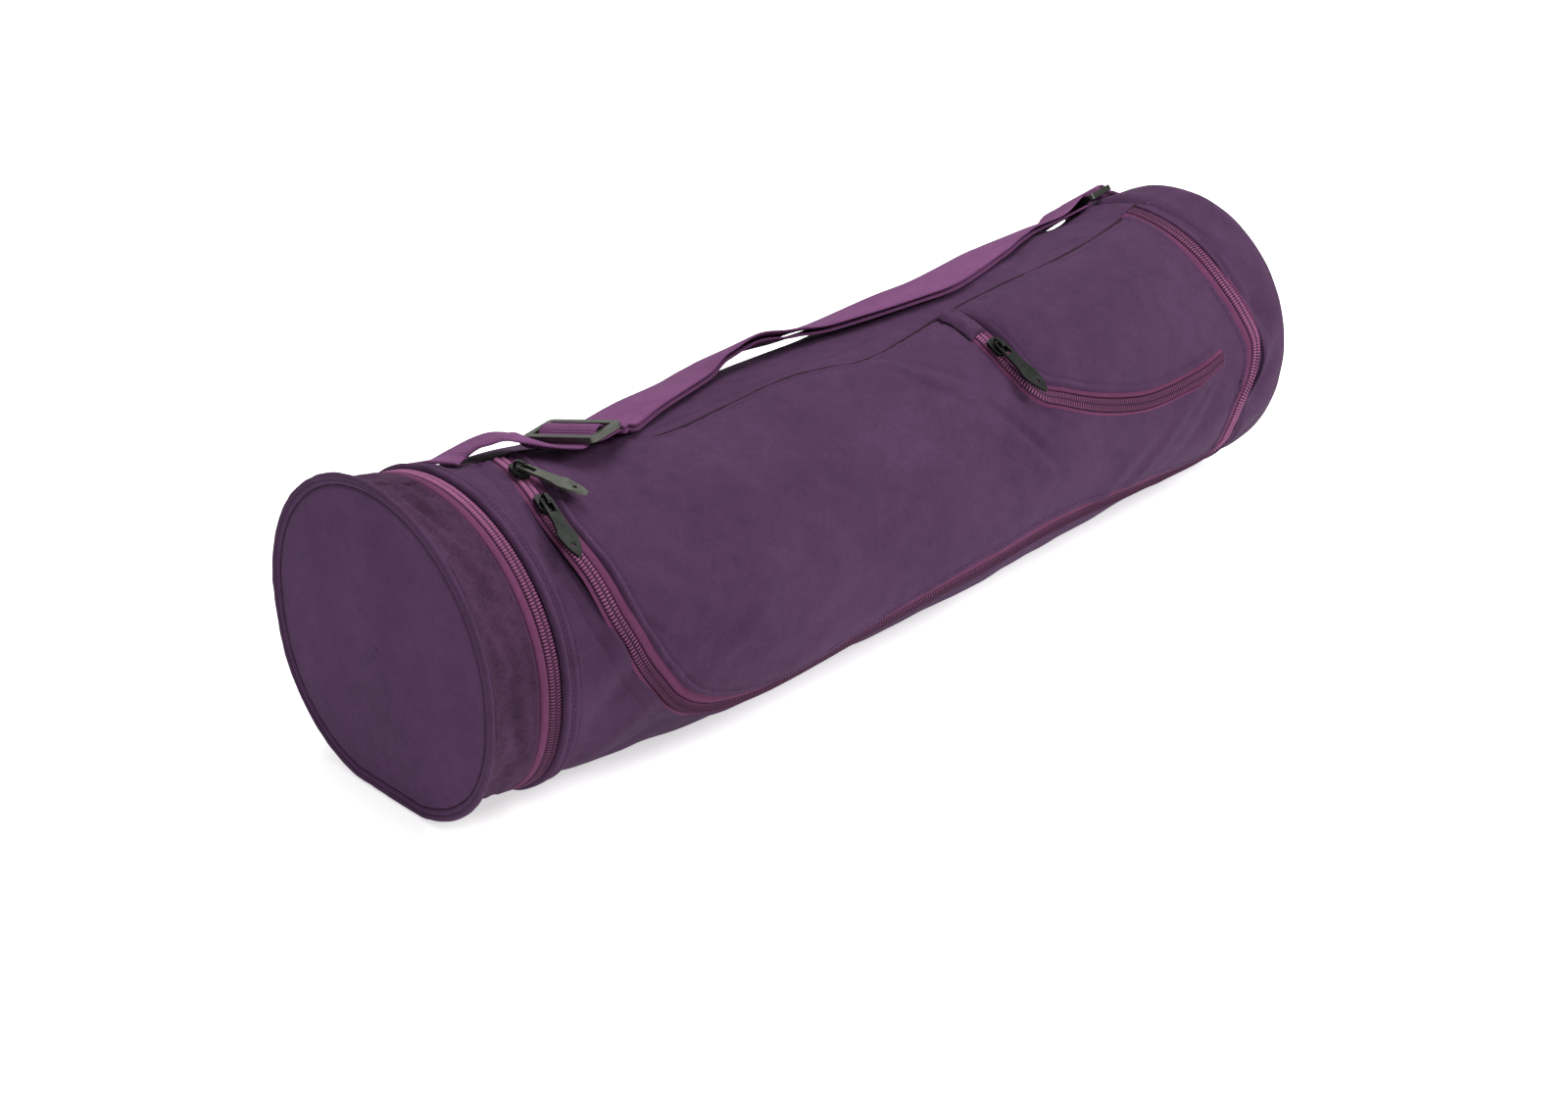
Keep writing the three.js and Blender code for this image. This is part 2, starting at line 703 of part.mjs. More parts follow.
// Small pocket, on the front pocket panel
function small_pocket() {
  const beside = half_teeth + small_tape_width + small_panel_gap;
  const first = small_edge[0];
  const last = small_edge[small_edge.length - 1];
  const bend_start = first.at + 0.016;
  const start = first.at * bag_length + beside;
  const finish = last.at * bag_length;
  const drop = deg(1.3 * beside / middle);
  const edges = {
    left: (turn) => start + small_corner_lean * Math.max(turn - small_corner_turn, 0),
    right: () => finish,
    top: (x) => along(top_seam, 'at', 'turn', x / bag_length) + small_hem_turn,
    low: (x) => along(small_edge, 'at', 'turn', Math.max(x / bag_length, bend_start)) - drop,
  };
  const puffed = (x, turn) => {
    const across = THREE.MathUtils.clamp((x - start) / (finish - start), 0, 1);
    const down = THREE.MathUtils.clamp((turn - edges.top(x)) / (edges.low(x) - edges.top(x)), 0, 1);
    const bulge = Math.sin(Math.PI * Math.sqrt(across)) * Math.sin(Math.PI * down ** 1.2);
    return panel_top(x, turn) + small_panel_lift + cloth + small_pocket_puff * bulge;
  };
  add('small_pocket', patch(13, 8, edges, puffed), fabric);
  const over = (x, turn) => panel_top(x, turn) + small_zip_lift;
  const line = smooth_places(small_edge, 18);
  const tape = tape_profile(-half_teeth - small_tape_width, -half_teeth - small_gap, 0);
  add('small_zip_tape', trim(line, tape, over), zip_fabric);
  add('small_zip_teeth', trim(line, teeth_profile(0, small_teeth_height), over), zip_fabric);
  add('zip_garage', trim(smooth_places(garage_line, 4), garage_profile(), over), fabric);
}

// Profile of the small fabric cover over the zip's top end.
function garage_profile() {
  const wing = garage_width / 2;
  const foot = small_teeth_height + 2 * small_gap;
  const rim = foot + garage_thickness;
  const crown = rim + garage_crown;
  return [[-wing, foot], [wing, foot], [wing, rim], [wing / 2, crown], [-wing / 2, crown], [-wing, rim]];
}

// A slider: a rounded plate with a bail for the pull tab, swung about the slider's upright axis.
function slider_body(swing) {
  const base = plate(rounded(THREE.Shape, slider_length, slider_width, slider_corner), slider_height);
  base.translate(0, 0, slider_height / 2);
  const outer = arch(THREE.Shape, bail_length / 2, bail_height, -bail_foot);
  outer.holes.push(arch(THREE.Path, bail_length / 2 - bail_wall, bail_height - bail_wall, 0));
  const bail = plate(outer, bail_width);
  bail.rotateX(Math.PI / 2);
  bail.translate(0, 0, slider_height);
  bail.rotateZ(rad(swing));
  return joined([base, bail]);
}

// A pull tab: a spear-shaped plate with a window round the bail and a small hole near its point.
function tab_body() {
  const neck = tab_window_width / 2 + tab_rim;
  const wide = tab_width / 2;
  const tip = 0.12 * wide;
  const start = -tab_rim / 2;
  const waist = 0.5 * tab_length;
  const shoulder = 0.62 * tab_length;
  const taper = 0.9 * tab_length;
  const spear = new THREE.Shape();
  spear.moveTo(start, -neck);
  spear.lineTo(tab_window_length, -neck);
  spear.quadraticCurveTo(waist, -0.95 * neck, shoulder, -wide);
  spear.quadraticCurveTo(taper, -0.75 * wide, tab_length, -tip);
  spear.lineTo(tab_length, tip);
  spear.quadraticCurveTo(taper, 0.75 * wide, shoulder, wide);
  spear.quadraticCurveTo(waist, 0.95 * neck, tab_window_length, neck);
  spear.lineTo(start, neck);
  const pane = rounded(THREE.Path, tab_window_length, tab_window_width, 0.4);
  spear.holes.push(moved(pane, tab_rim / 2 + tab_window_length / 2));
  const hole = new THREE.Path();
  hole.absarc(0.8 * tab_length, 0, tab_hole / 2, 0, 2 * Math.PI, true);
  spear.holes.push(hole);
  return plate(spear, tab_thickness);
}

// Turn and place a mesh by its three directions.
function place(mesh, point, forward, across, up) {
  mesh.quaternion.setFromRotationMatrix(new THREE.Matrix4().makeBasis(forward, across, up));
  mesh.position.copy(point);
}

// A slider and its tab on the zip along an edge table, at a turn.
function put_slider(name, tab_name, edge, over, turn, swing) {
  const step = 2;
  const at_turn = (where) => ({ x: along(edge, 'turn', 'at', where) * bag_length, turn: where });
  const spot = at_turn(turn);
  const ahead = at_turn(turn + step);
  const up = outward(spot.x, spot.turn);
  const toward = skin(ahead.x, ahead.turn, 0).sub(skin(spot.x, spot.turn, 0));
  const across = new THREE.Vector3().crossVectors(up, toward).normalize();
  const forward = new THREE.Vector3().crossVectors(across, up);
  const point = skin(spot.x, spot.turn, over(spot.x, spot.turn));
  place(add(name, slider_body(swing), zip_metal), point, forward, across, up);
  const pivot = point.clone().addScaledVector(up, slider_height + (bail_height - bail_wall) / 2);
  const tab_forward = forward.clone().applyAxisAngle(up, rad(swing));
  const tab_across = across.clone().applyAxisAngle(up, rad(swing));
  tab_forward.applyAxisAngle(tab_across, rad(tab_dip));
  const tab_up = new THREE.Vector3().crossVectors(tab_forward, tab_across);
  place(add(tab_name, tab_body(), zip_metal), pivot, tab_forward, tab_across, tab_up);
}

function sliders() {
  const over_teeth = () => zip_lift + teeth_height + small_gap;
  const over_small_teeth = (x, turn) => panel_top(x, turn) + small_zip_lift + small_teeth_height + small_gap;
  put_slider('pocket_slider_upper', 'pocket_tab_upper', left_edge, over_teeth, upper_slider_turn, upper_tab_swing);
  put_slider('pocket_slider_lower', 'pocket_tab_lower', left_edge, over_teeth, lower_slider_turn, lower_tab_swing);
  put_slider('small_slider', 'small_tab', small_edge, over_small_teeth, small_slider_turn, small_tab_swing);
}

// A place over the bag, from its row in a table.
function over_bag({ at, side, lift }) {
  const x = at * bag_length;
  const y = side * bag_width;
  return new THREE.Vector3(x, y, bed(x, y) + lift * webbing_width);
}

// Directions of a flat piece of hardware: across its webbing, along the webbing, and out of its face.
function hardware_frame(turn, tilt) {
  const width = width_of(turn, tilt);
  const heading = new THREE.Vector3(Math.cos(rad(turn)), Math.sin(rad(turn)), 0);
  const face = new THREE.Vector3().crossVectors(heading, width);
  return { width, heading, face };
}

// The direction of the webbing's width, swung about Z and rolled.
function width_of(turn, tilt) {
  const flat = Math.cos(rad(tilt));
  return new THREE.Vector3(-Math.sin(rad(turn)) * flat, Math.cos(rad(turn)) * flat, Math.sin(rad(tilt)));
}

// Strap hardware
const glide_point = over_bag(glide_place);
const ring_point = over_bag(ring_place);
const glide_frame = hardware_frame(glide_turn, glide_tilt);
const ring_frame = hardware_frame(ring_turn, ring_tilt);
const glide_slot = (glide_length - 3 * glide_bar) / 2;

function tri_glide() {
  const frame = rounded(THREE.Shape, glide_length, glide_width, glide_corner);
  for (const side of [-1, 1]) {
    const opening = rounded(THREE.Path, glide_slot, glide_width - 2 * glide_end, 1);
    frame.holes.push(moved(opening, side * (glide_bar + glide_slot) / 2));
  }
  const mesh = add('tri_glide', plate(frame, glide_thickness), buckle_metal);
  place(mesh, glide_point, glide_frame.heading, glide_frame.width, glide_frame.face);
}

function strap_ring() {
  const frame = rounded(THREE.Shape, ring_length, ring_width, ring_corner);
  frame.holes.push(rounded(THREE.Path, ring_length - 2 * ring_bar, ring_width - 2 * ring_bar, ring_corner / 2));
  const mesh = add('strap_ring', plate(frame, ring_bar), buckle_metal);
  place(mesh, ring_point, ring_frame.heading, ring_frame.width, ring_frame.face);
}

// A stop on the strap: where its middle is, its width direction and how closely it hugs the bag. A second
// layer lies under the first. Webbing within a tenth of its width of the bag hugs it fully.
function stop(row, layer) {
  const lift = row.lift - layer * (webbing_thickness + strap_layer_gap) / webbing_width;
  return { point: over_bag({ ...row, lift }), width: width_of(row.turn, row.tilt), hug: 1.2 - 3 * lift };
}

// Stops placed in a piece of hardware's own directions, as a step forward and a step up.
function stops_at(point, frame, steps) {
  return steps.map(([forward, up]) => ({
    point: point.clone().addScaledVector(frame.heading, forward).addScaledVector(frame.face, up),
    width: frame.width,
    hug: 0,
  }));
}

// Stops round a ring's bar, from one angle to another.
function round_bar(side, from, to) {
  const bar = ring_point.clone().addScaledVector(ring_frame.heading, side * (ring_length - ring_bar) / 2);
  const reach = ring_bar * Math.SQRT1_2 + webbing_thickness / 2 + small_gap;
  const spans = 5;
  const steps = [];
  for (let i = 0; i <= spans; i += 1) {
    const angle = rad(THREE.MathUtils.lerp(from, to, i / spans));
    steps.push([reach * Math.cos(angle), reach * Math.sin(angle)]);
  }
  return stops_at(bar, ring_frame, steps);
}

// Webbing through a list of stops.
function webbing_through(stops) {
  const steps_each = 2;
  const centre = new THREE.CatmullRomCurve3(stops.map((s) => s.point), false, 'centripetal');
  const widths = new THREE.CatmullRomCurve3(stops.map((s) => s.width), false, 'catmullrom', 0);
  const hugs = new THREE.CatmullRomCurve3(stops.map((s) => new THREE.Vector3(s.hug, 0, 0)), false, 'catmullrom', 0);
  return sheet(steps_each * (stops.length - 1), 2, false, (u, v, side) => {
    const point = centre.getPoint(u);
    const width = widths.getPoint(u).normalize();
    const forward = centre.getTangent(u);
    const face = forward.cross(width).normalize();
    const spot = point.clone().addScaledVector(width, (v - 0.5) * webbing_width);
    const lift = point.z - bed(point.x, point.y);
    const hug = THREE.MathUtils.clamp(hugs.getPoint(u).x, 0, 1);
    spot.z = THREE.MathUtils.lerp(spot.z, bed(spot.x, spot.y) + lift, hug);
    return spot.addScaledVector(face, (0.5 - side) * webbing_thickness);
  });
}

// The strap: up from the lid, over the glide's middle bar, out to the ring, round its bar and back below
// itself to end under the glide.
function shoulder_strap() {
  const lead = 4;
  const clear = glide_thickness / 2 + webbing_thickness / 2 + 2 * small_gap;
  const under = clear + webbing_thickness + small_gap;
  const inner = glide_bar / 2;
  const outer = glide_length / 2;
  const half_weave = [[outer + lead, -clear], [outer - inner, -clear], [inner + 0.82 * glide_slot, -0.72 * clear],
    [inner + 0.5 * glide_slot, 0], [inner + 0.15 * glide_slot, 0.72 * clear]];
  const weave = [...half_weave.map(([forward, up]) => [-forward, up]), [0, clear], ...half_weave.toReversed()];
  const end_layer = [[outer + lead, -under - 0.8], [outer - inner, -under - 0.8], [inner, -under - 0.3], [0, -under]];
  const stops = [
    ...anchor_run.map((row) => stop(row, 0)),
    ...stops_at(glide_point, glide_frame, weave),
    ...upper_run.map((row) => stop(row, 0)),
    ...round_bar(-1, 115, -110),
    ...upper_run.toReversed().map((row) => stop(row, 1)),
    ...stops_at(glide_point, glide_frame, end_layer),
  ];
  add('shoulder_strap', webbing_through(stops), webbing);
}

// The short webbing that holds the ring, sewn to the back of the bag's top.
function ring_tab() {
  const stops = [...round_bar(1, -60, -335), ...ring_tab_run.map((row) => stop(row, 0))];
  add('ring_tab', webbing_through(stops), webbing);
}

lid();
lid_zip_parts();
lid_slider();
flap();
tube();
front_pocket();
small_pocket();
sliders();
tri_glide();
strap_ring();
shoulder_strap();
ring_tab();

export default bag;
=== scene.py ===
# A zipped tube bag for a rolled mat: its cloth, zips, webbing and metal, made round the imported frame.
# Shapes are worked out in millimetres and written to the meshes in metres. A turn is an angle round the bag
# in degrees, from the top over the front: 90 is the front, 180 the underside. A lift is a height off the
# bag's plain outline.
import math

import bmesh
import bpy
import numpy as np
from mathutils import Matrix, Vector
from mathutils.kdtree import KDTree


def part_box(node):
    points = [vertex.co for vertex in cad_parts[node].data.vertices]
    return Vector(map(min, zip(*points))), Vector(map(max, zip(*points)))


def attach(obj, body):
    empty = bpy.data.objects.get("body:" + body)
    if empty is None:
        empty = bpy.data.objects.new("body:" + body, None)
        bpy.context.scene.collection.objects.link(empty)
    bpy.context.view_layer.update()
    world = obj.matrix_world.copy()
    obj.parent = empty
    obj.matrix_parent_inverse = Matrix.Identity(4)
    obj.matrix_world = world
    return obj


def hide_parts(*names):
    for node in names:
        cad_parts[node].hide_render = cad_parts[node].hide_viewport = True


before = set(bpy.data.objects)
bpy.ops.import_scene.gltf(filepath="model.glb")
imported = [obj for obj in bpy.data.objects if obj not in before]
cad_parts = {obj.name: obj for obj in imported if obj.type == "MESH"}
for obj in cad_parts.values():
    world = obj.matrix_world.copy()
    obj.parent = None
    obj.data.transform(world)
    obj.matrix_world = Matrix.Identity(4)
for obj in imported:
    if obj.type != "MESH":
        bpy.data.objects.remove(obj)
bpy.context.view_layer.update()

METRE = 1000.0
axis_height = 0.09

# Sizes that the frame is built from
bag_length = round(2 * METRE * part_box("main_tube")[1].x)
bag_width = 190.0
middle = bag_width / 2
settled = 2.5
cloth = 2.0
thick_cloth = 0.8 * cloth
thin_cloth = 0.8
layer_gap = 1.6
small_gap = 0.3
lid_depth = 46.0
tape_width = 6.0
teeth_width = 7.6
teeth_height = 2.6
half_teeth = teeth_width / 2
flap_width = 10.0
zip_lift = 1.5
pocket_slack = 1.0
small_pocket_puff = 7.0
small_zip_lift = 0.7
small_beside = half_teeth + 3.0 + 1.0
small_tail = 12
webbing_width = 40.0
webbing_thickness = 1.8
strap_layer_gap = 1.4
glide_length = 28.0
glide_thickness = 3.2
glide_bar = 4.4
ring_length = 28.0
ring_bar = 4.0

# Stations along the bag
lid_end = -bag_length / 2
far_edge = bag_length / 2
lid_zip = lid_end + lid_depth
lid_seam = lid_zip - half_teeth - tape_width
flap_start = lid_zip + half_teeth + small_gap
tube_start = flap_start + flap_width + small_gap
far_seam = 0.435 * bag_length


class Curve:
    """A smooth curve through a table's rows that doesn't overshoot them."""

    def __init__(self, where, values):
        self.where = np.array(where, float)
        self.values = np.array(values, float)
        spans = np.diff(self.values) / np.diff(self.where)
        slopes = np.zeros(len(self.where))
        slopes[0], slopes[-1] = spans[0], spans[-1]
        before, after = spans[:-1], spans[1:]
        same = before * after > 0
        total = np.where(same, before + after, 1)
        slopes[1:-1] = np.where(same, 2 * before * after / total, 0)
        self.slopes = slopes

    def __call__(self, at):
        at = np.asarray(at, float)
        row = np.clip(np.searchsorted(self.where, at, side="left") - 1, 0, len(self.where) - 2)
        span = self.where[row + 1] - self.where[row]
        share = np.clip((at - self.where[row]) / span, 0, 1)
        square, cube = share ** 2, share ** 3
        start, end = self.values[row], self.values[row + 1]
        bend = self.slopes[row] * (cube - 2 * square + share) + self.slopes[row + 1] * (cube - square)
        return start * (2 * cube - 3 * square + 1) + end * (3 * square - 2 * cube) + span * bend


def table(columns, rows):
    """A short table as one curve for each column over its first column."""
    names = columns.split()
    rows = np.array(rows, float)
    return {name: Curve(rows[:, 0], rows[:, i]) for i, name in enumerate(names) if i > 0}


# Cross-sections, as the frame has them: shares of the bag's length and width.
sections = table("at top wide rest square lean", [
    (-0.5, 1.008, 1.01, 0.016, 2.35, 0),
    (-0.47, 0.99, 1, 0.016, 2.3, 0),
    (-0.44, 0.95, 1, 0.018, 2.3, 0),
    (-0.41, 0.932, 1.01, 0.018, 2.35, 0),
    (-0.38, 0.91, 1.03, 0, 2.3, 0.004),
    (-0.34, 0.895, 1.05, 0, 2.25, 0.01),
    (-0.28, 0.866, 1.09, 0, 2.2, 0.02),
    (-0.21, 0.864, 1.095, 0, 2.2, 0.03),
    (-0.09, 0.884, 1.08, 0, 2.2, 0.03),
    (0.03, 0.886, 1.08, 0, 2.2, 0.03),
    (0.15, 0.925, 1.05, 0, 2.15, 0.02),
    (0.26, 0.953, 1.025, 0, 2.05, 0.012),
    (0.33, 0.958, 1, 0.002, 2.05, 0.004),
    (0.38, 0.958, 0.985, 0.012, 2.05, 0),
    (0.42, 0.975, 0.98, 0.014, 2.05, 0),
    (0.455, 1.005, 0.985, 0.012, 2.05, 0),
    (0.48, 1.01, 0.985, 0.01, 2.05, 0),
    (0.5, 0.985, 0.955, 0.02, 2.05, 0),
])

# Edges of the pockets: at is a share of bag_length, turn is in degrees.
top_seam_rows = [
    (-0.394, -11), (-0.359, -11), (-0.309, -10), (-0.259, -3), (-0.241, 4), (-0.209, 7), (-0.147, 6),
    (-0.07, 5), (-0.031, 8), (0.0, 12), (0.063, 10), (0.139, 8), (0.279, 8), (0.348, 4), (0.435, -4),
]
left_edge_rows = [
    (-6, -0.362), (11, -0.371), (24, -0.378), (35, -0.383), (45, -0.382), (56, -0.377), (71, -0.371),
    (80, -0.363), (89, -0.353), (98, -0.338), (106, -0.321),
]
bottom_edge_rows = [
    (-0.321, 106), (-0.29, 113.5), (-0.25, 118.5), (-0.21, 120), (-0.15, 118), (-0.05, 113), (0.05, 109.5),
    (0.146, 111), (0.265, 118.5), (0.34, 125), (0.385, 129), (0.415, 128), (0.425, 121),
]
right_edge_rows = [
    (-2, 0.416), (17, 0.417), (34, 0.42), (50, 0.425), (64, 0.434), (78, 0.443), (90, 0.438),
    (101, 0.426), (112, 0.423), (121, 0.425),
]
small_edge_rows = [
    (0.1152, 16), (0.1155, 26), (0.116, 36), (0.118, 48), (0.131, 58), (0.158, 64), (0.191, 70),
    (0.23, 75), (0.265, 78), (0.305, 79), (0.345, 78.5), (0.387, 76),
]
top_seam = table("at turn", top_seam_rows)["turn"]
bottom_edge = table("at turn", bottom_edge_rows)["turn"]
small_edge = table("at turn", small_edge_rows)["turn"]
left_edge = table("turn at", left_edge_rows)["at"]
right_edge = table("turn at", right_edge_rows)["at"]

# Folds: at and long are shares of bag_length, turn and wide are in degrees, deep is a share of bag_width
# and slant is how many degrees the fold drifts round the bag along its length.
pocket_folds = [
    (-0.28, 75, 0.10, 14, 30, 0.010),
    (-0.12, 60, 0.16, 12, -12, 0.012),
    (-0.05, 118, 0.22, 13, 8, 0.020),
    (0.10, 92, 0.14, 8, 16, -0.010),
    (0.22, 124, 0.16, 11, -14, 0.018),
    (0.33, 96, 0.06, 12, -20, 0.012),
]


def smoothstep(value, low, high):
    share = np.clip((value - low) / (high - low), 0, 1)
    return share * share * (3 - 2 * share)


def section(x):
    at = np.clip(np.asarray(x, float) / bag_length, -0.5, 0.5)
    sizes = [sections[name](at) * bag_width for name in ("top", "wide", "rest", "lean")]
    top, wide, rest, lean = sizes
    return top / 2, wide / 2, rest, lean, sections["square"](at)


def outline(x, turn):
    """The bag's plain outline round the section at x, flattened where it rests."""
    centre, half, ground, lean, power = section(x)
    side = np.sin(np.radians(turn))
    up = np.cos(np.radians(turn))
    above = 1 / np.hypot(side / half, up / centre)
    drop = centre - ground + settled
    below = (np.abs(side / half) ** power + np.abs(up / drop) ** power) ** (-1 / power)
    below = np.minimum(below, (centre - ground) / np.maximum(-up, 1e-6))
    reach = np.where(up >= 0, above, below)
    return np.stack(np.broadcast_arrays(x, -lean - reach * side, centre + reach * up), axis=-1)


def outward(x, turn):
    step = 0.5
    lengthwise = outline(x + step, turn) - outline(x - step, turn)
    roundwise = outline(x, turn + step) - outline(x, turn - step)
    normal = np.cross(roundwise, lengthwise)
    return normal / np.linalg.norm(normal, axis=-1, keepdims=True)


def skin(x, turn, lift):
    """Points on the bag, lifted off its plain outline and never below the ground."""
    x, turn, lift = np.broadcast_arrays(x, turn, lift)
    points = outline(x, turn) + outward(x, turn) * lift[..., None]
    points[..., 2] = np.maximum(points[..., 2], 0.0)
    return points


def roof(x, y):
    centre, half, _, lean, _ = section(x)
    return centre + centre * np.sqrt(np.maximum(1 - ((y + lean) / half) ** 2, 0))


def bed(x, y):
    """Height of what the strap lies on: the bag's top, with the pocket panel where it reaches under it."""
    centre, _, _, lean, _ = section(x)
    turn = np.degrees(np.arctan2(-y - lean, roof(x, y) - centre))
    at = x / bag_length
    on_panel = smoothstep(turn - top_seam(at), -8, -2)
    in_panel = smoothstep(at, left_edge_rows[0][1] - 0.02, left_edge_rows[0][1])
    return roof(x, y) + on_panel * in_panel * (layer_gap + cloth + pocket_slack)


def catmull(points, shares):
    """A centripetal Catmull-Rom curve through points, at shares of its spans."""
    points = np.asarray(points, float)
    spans = len(points) - 1
    padded = np.vstack([2 * points[0] - points[1], points, 2 * points[-1] - points[-2]])
    place = np.clip(shares, 0, 1) * spans
    row = np.minimum(place.astype(int), spans - 1)
    share = (place - row)[:, None]
    p0, p1, p2, p3 = (padded[row + k] for k in range(4))

    def gap(a, b):
        return np.maximum(np.linalg.norm(b - a, axis=1, keepdims=True), 1e-6) ** 0.5

    d0, d1, d2 = gap(p0, p1), gap(p1, p2), gap(p2, p3)
    start = ((p1 - p0) / d0 - (p2 - p0) / (d0 + d1) + (p2 - p1) / d1) * d1
    end = ((p2 - p1) / d1 - (p3 - p1) / (d1 + d2) + (p3 - p2) / d2) * d1
    square = -3 * p1 + 3 * p2 - 2 * start - end
    cube = 2 * p1 - 2 * p2 + start + end
    return p1 + start * share + square * share ** 2 + cube * share ** 3


def arc_of(turn):
    return np.radians(turn) * middle


def turn_of(arc):
    return np.degrees(arc / middle)


class Line:
    """A line on the bag, evenly sampled, in the flat plane of x and arc round the bag."""

    def __init__(self, flat, spacing):
        flat = np.asarray(flat, float)
        fine = catmull(flat, np.linspace(0, 1, 80 * len(flat)))
        steps = np.linalg.norm(np.diff(fine, axis=0), axis=1)
        run = np.concatenate([[0], np.cumsum(steps)])
        count = int(round(run[-1] / spacing)) + 1
        self.run = np.linspace(0, run[-1], count)
        self.flat = np.stack([np.interp(self.run, run, fine[:, k]) for k in range(2)], axis=1)
        ahead = np.gradient(self.flat, axis=0)
        ahead /= np.linalg.norm(ahead, axis=1, keepdims=True)
        self.across = np.stack([ahead[:, 1], -ahead[:, 0]], axis=1)

    def places(self, steps):
        """x and turn of places beside the line, for each sample and each step across."""
        spots = self.flat[:, None, :] + self.across[:, None, :] * np.asarray(steps)[None, :, None]
        return spots[..., 0], turn_of(spots[..., 1])

    def distance(self, x, turn):
        """How far places are from the line, and how far along it."""
        tree = KDTree(len(self.flat))
        for i, spot in enumerate(self.flat):
            tree.insert((spot[0], spot[1], 0), i)
        tree.balance()
        shape = np.shape(x)
        spots = zip(np.ravel(x), np.ravel(arc_of(turn)))
        found = [tree.find((a, b, 0)) for a, b in spots]
        away = np.array([hit[2] for hit in found]).reshape(shape)
        along = self.run[[hit[1] for hit in found]].reshape(shape)
        return away, along


def rows_flat(rows, turn_first=False):
    pairs = [(at, turn) for turn, at in rows] if turn_first else rows
    return [(at * bag_length, arc_of(turn)) for at, turn in pairs]


pocket_line_rows = (
    rows_flat(left_edge_rows[:-1], True)
    + rows_flat(bottom_edge_rows)
    + rows_flat(right_edge_rows[:-1], True)[::-1]
)
tooth_pitch = 1.9
tooth_samples = 4
pocket_line = Line(pocket_line_rows, tooth_pitch / tooth_samples)
small_line = Line(rows_flat(small_edge_rows), tooth_pitch / tooth_samples)
seam_line = Line(rows_flat(top_seam_rows), 2.0)


def round_turns(count):
    """Even turns once round the bag."""
    return np.linspace(0, 360, count + 1)[:-1]


def waves(a, b, size, seed):
    """Soft seeded noise, about -1 to 1, with bumps about size across."""
    draw = np.random.default_rng(seed)
    total = 0
    for _ in range(9):
        heading = draw.uniform(0, 2 * math.pi)
        stretch = draw.uniform(0.75, 1.5)
        phase = draw.uniform(0, 2 * math.pi)
        run = a * math.cos(heading) + b * math.sin(heading)
        total = total + np.sin(run * 2 * math.pi / (size * stretch) + phase)
    return total / 3


def folded(x, turn, folds, sharp=2.0):
    """Height of a list of folds. A lower sharp makes a crease of each."""
    at = x / bag_length
    height = 0
    for fold_at, fold_turn, long, wide, slant, deep in folds:
        run = (at - fold_at) / long
        off = (turn - fold_turn - slant * run) / wide
        height = height + deep * bag_width * np.exp(-(run ** 2) - np.abs(off) ** sharp)
    return height


def pocket_swell(x, turn):
    """The folds of the pocket panel that the frame has too."""
    at = x / bag_length
    height = folded(x, turn, pocket_folds)
    fade = smoothstep((at - left_edge(turn)) / 0.05, 0, 1)
    fade = fade * smoothstep((right_edge(turn) - at) / 0.05, 0, 1)
    fade = fade * smoothstep((turn - top_seam(at)) / 14, 0, 1)
    fade = fade * smoothstep((bottom_edge(at) - turn) / 14, 0, 1)
    return (np.maximum(height, 0) + pocket_slack) * fade


# Finer folds of the cloth, in the same columns. The creases are sharp.
panel_folds = [
    (-0.315, 62, 0.035, 5, 10, -0.006),
    (-0.25, 84, 0.05, 5, -14, 0.007),
    (-0.20, 40, 0.10, 6, 10, 0.005),
    (-0.17, 96, 0.09, 5, -10, -0.006),
    (-0.02, 70, 0.10, 5, -16, 0.005),
    (0.03, 40, 0.07, 4, 12, -0.006),
    (0.06, 50, 0.045, 4, 26, 0.010),
    (0.085, 62, 0.05, 4, 24, -0.012),
    (0.10, 76, 0.05, 4.5, 16, 0.007),
    (0.17, 84, 0.06, 4, 10, -0.006),
    (0.20, 108, 0.09, 5, -20, 0.008),
    (0.29, 98, 0.07, 4, -22, 0.008),
    (0.30, 112, 0.08, 4, -16, -0.006),
    (0.37, 92, 0.03, 5, -12, -0.007),
]
panel_creases = [
    (0.018, 16, 0.05, 2.2, 10, -0.005),
    (0.045, 30, 0.03, 2, 16, -0.005),
    (0.125, 62, 0.03, 2, 12, -0.006),
    (0.36, 86, 0.02, 1.8, -4, -0.006),
    (-0.345, 76, 0.02, 2.2, 8, -0.004),
]
tube_folds = [
    (-0.388, 55, 0.015, 26, 4, -0.016),
    (-0.375, 82, 0.03, 8, -16, 0.008),
    (-0.38, 100, 0.03, 7, -14, -0.010),
    (-0.36, 112, 0.04, 6, -18, 0.008),
    (-0.34, 124, 0.05, 6, -16, -0.008),
    (-0.30, 140, 0.06, 8, -10, 0.007),
    (-0.05, 148, 0.14, 6, 4, -0.008),
    (0.15, 150, 0.12, 6, -4, 0.008),
    (0.46, 40, 0.02, 12, 10, 0.010),
    (0.455, 66, 0.022, 6, 8, -0.013),
    (0.46, 82, 0.022, 6, -6, 0.012),
    (0.455, 98, 0.022, 6, -8, -0.012),
    (0.46, 116, 0.03, 8, -6, 0.008),
    (-0.2, 215, 0.2, 12, 20, 0.010),
    (0.1, 250, 0.2, 12, -20, 0.010),
    (0.3, 300, 0.12, 10, 10, -0.008),
    (-0.15, 305, 0.15, 10, -14, 0.008),
]


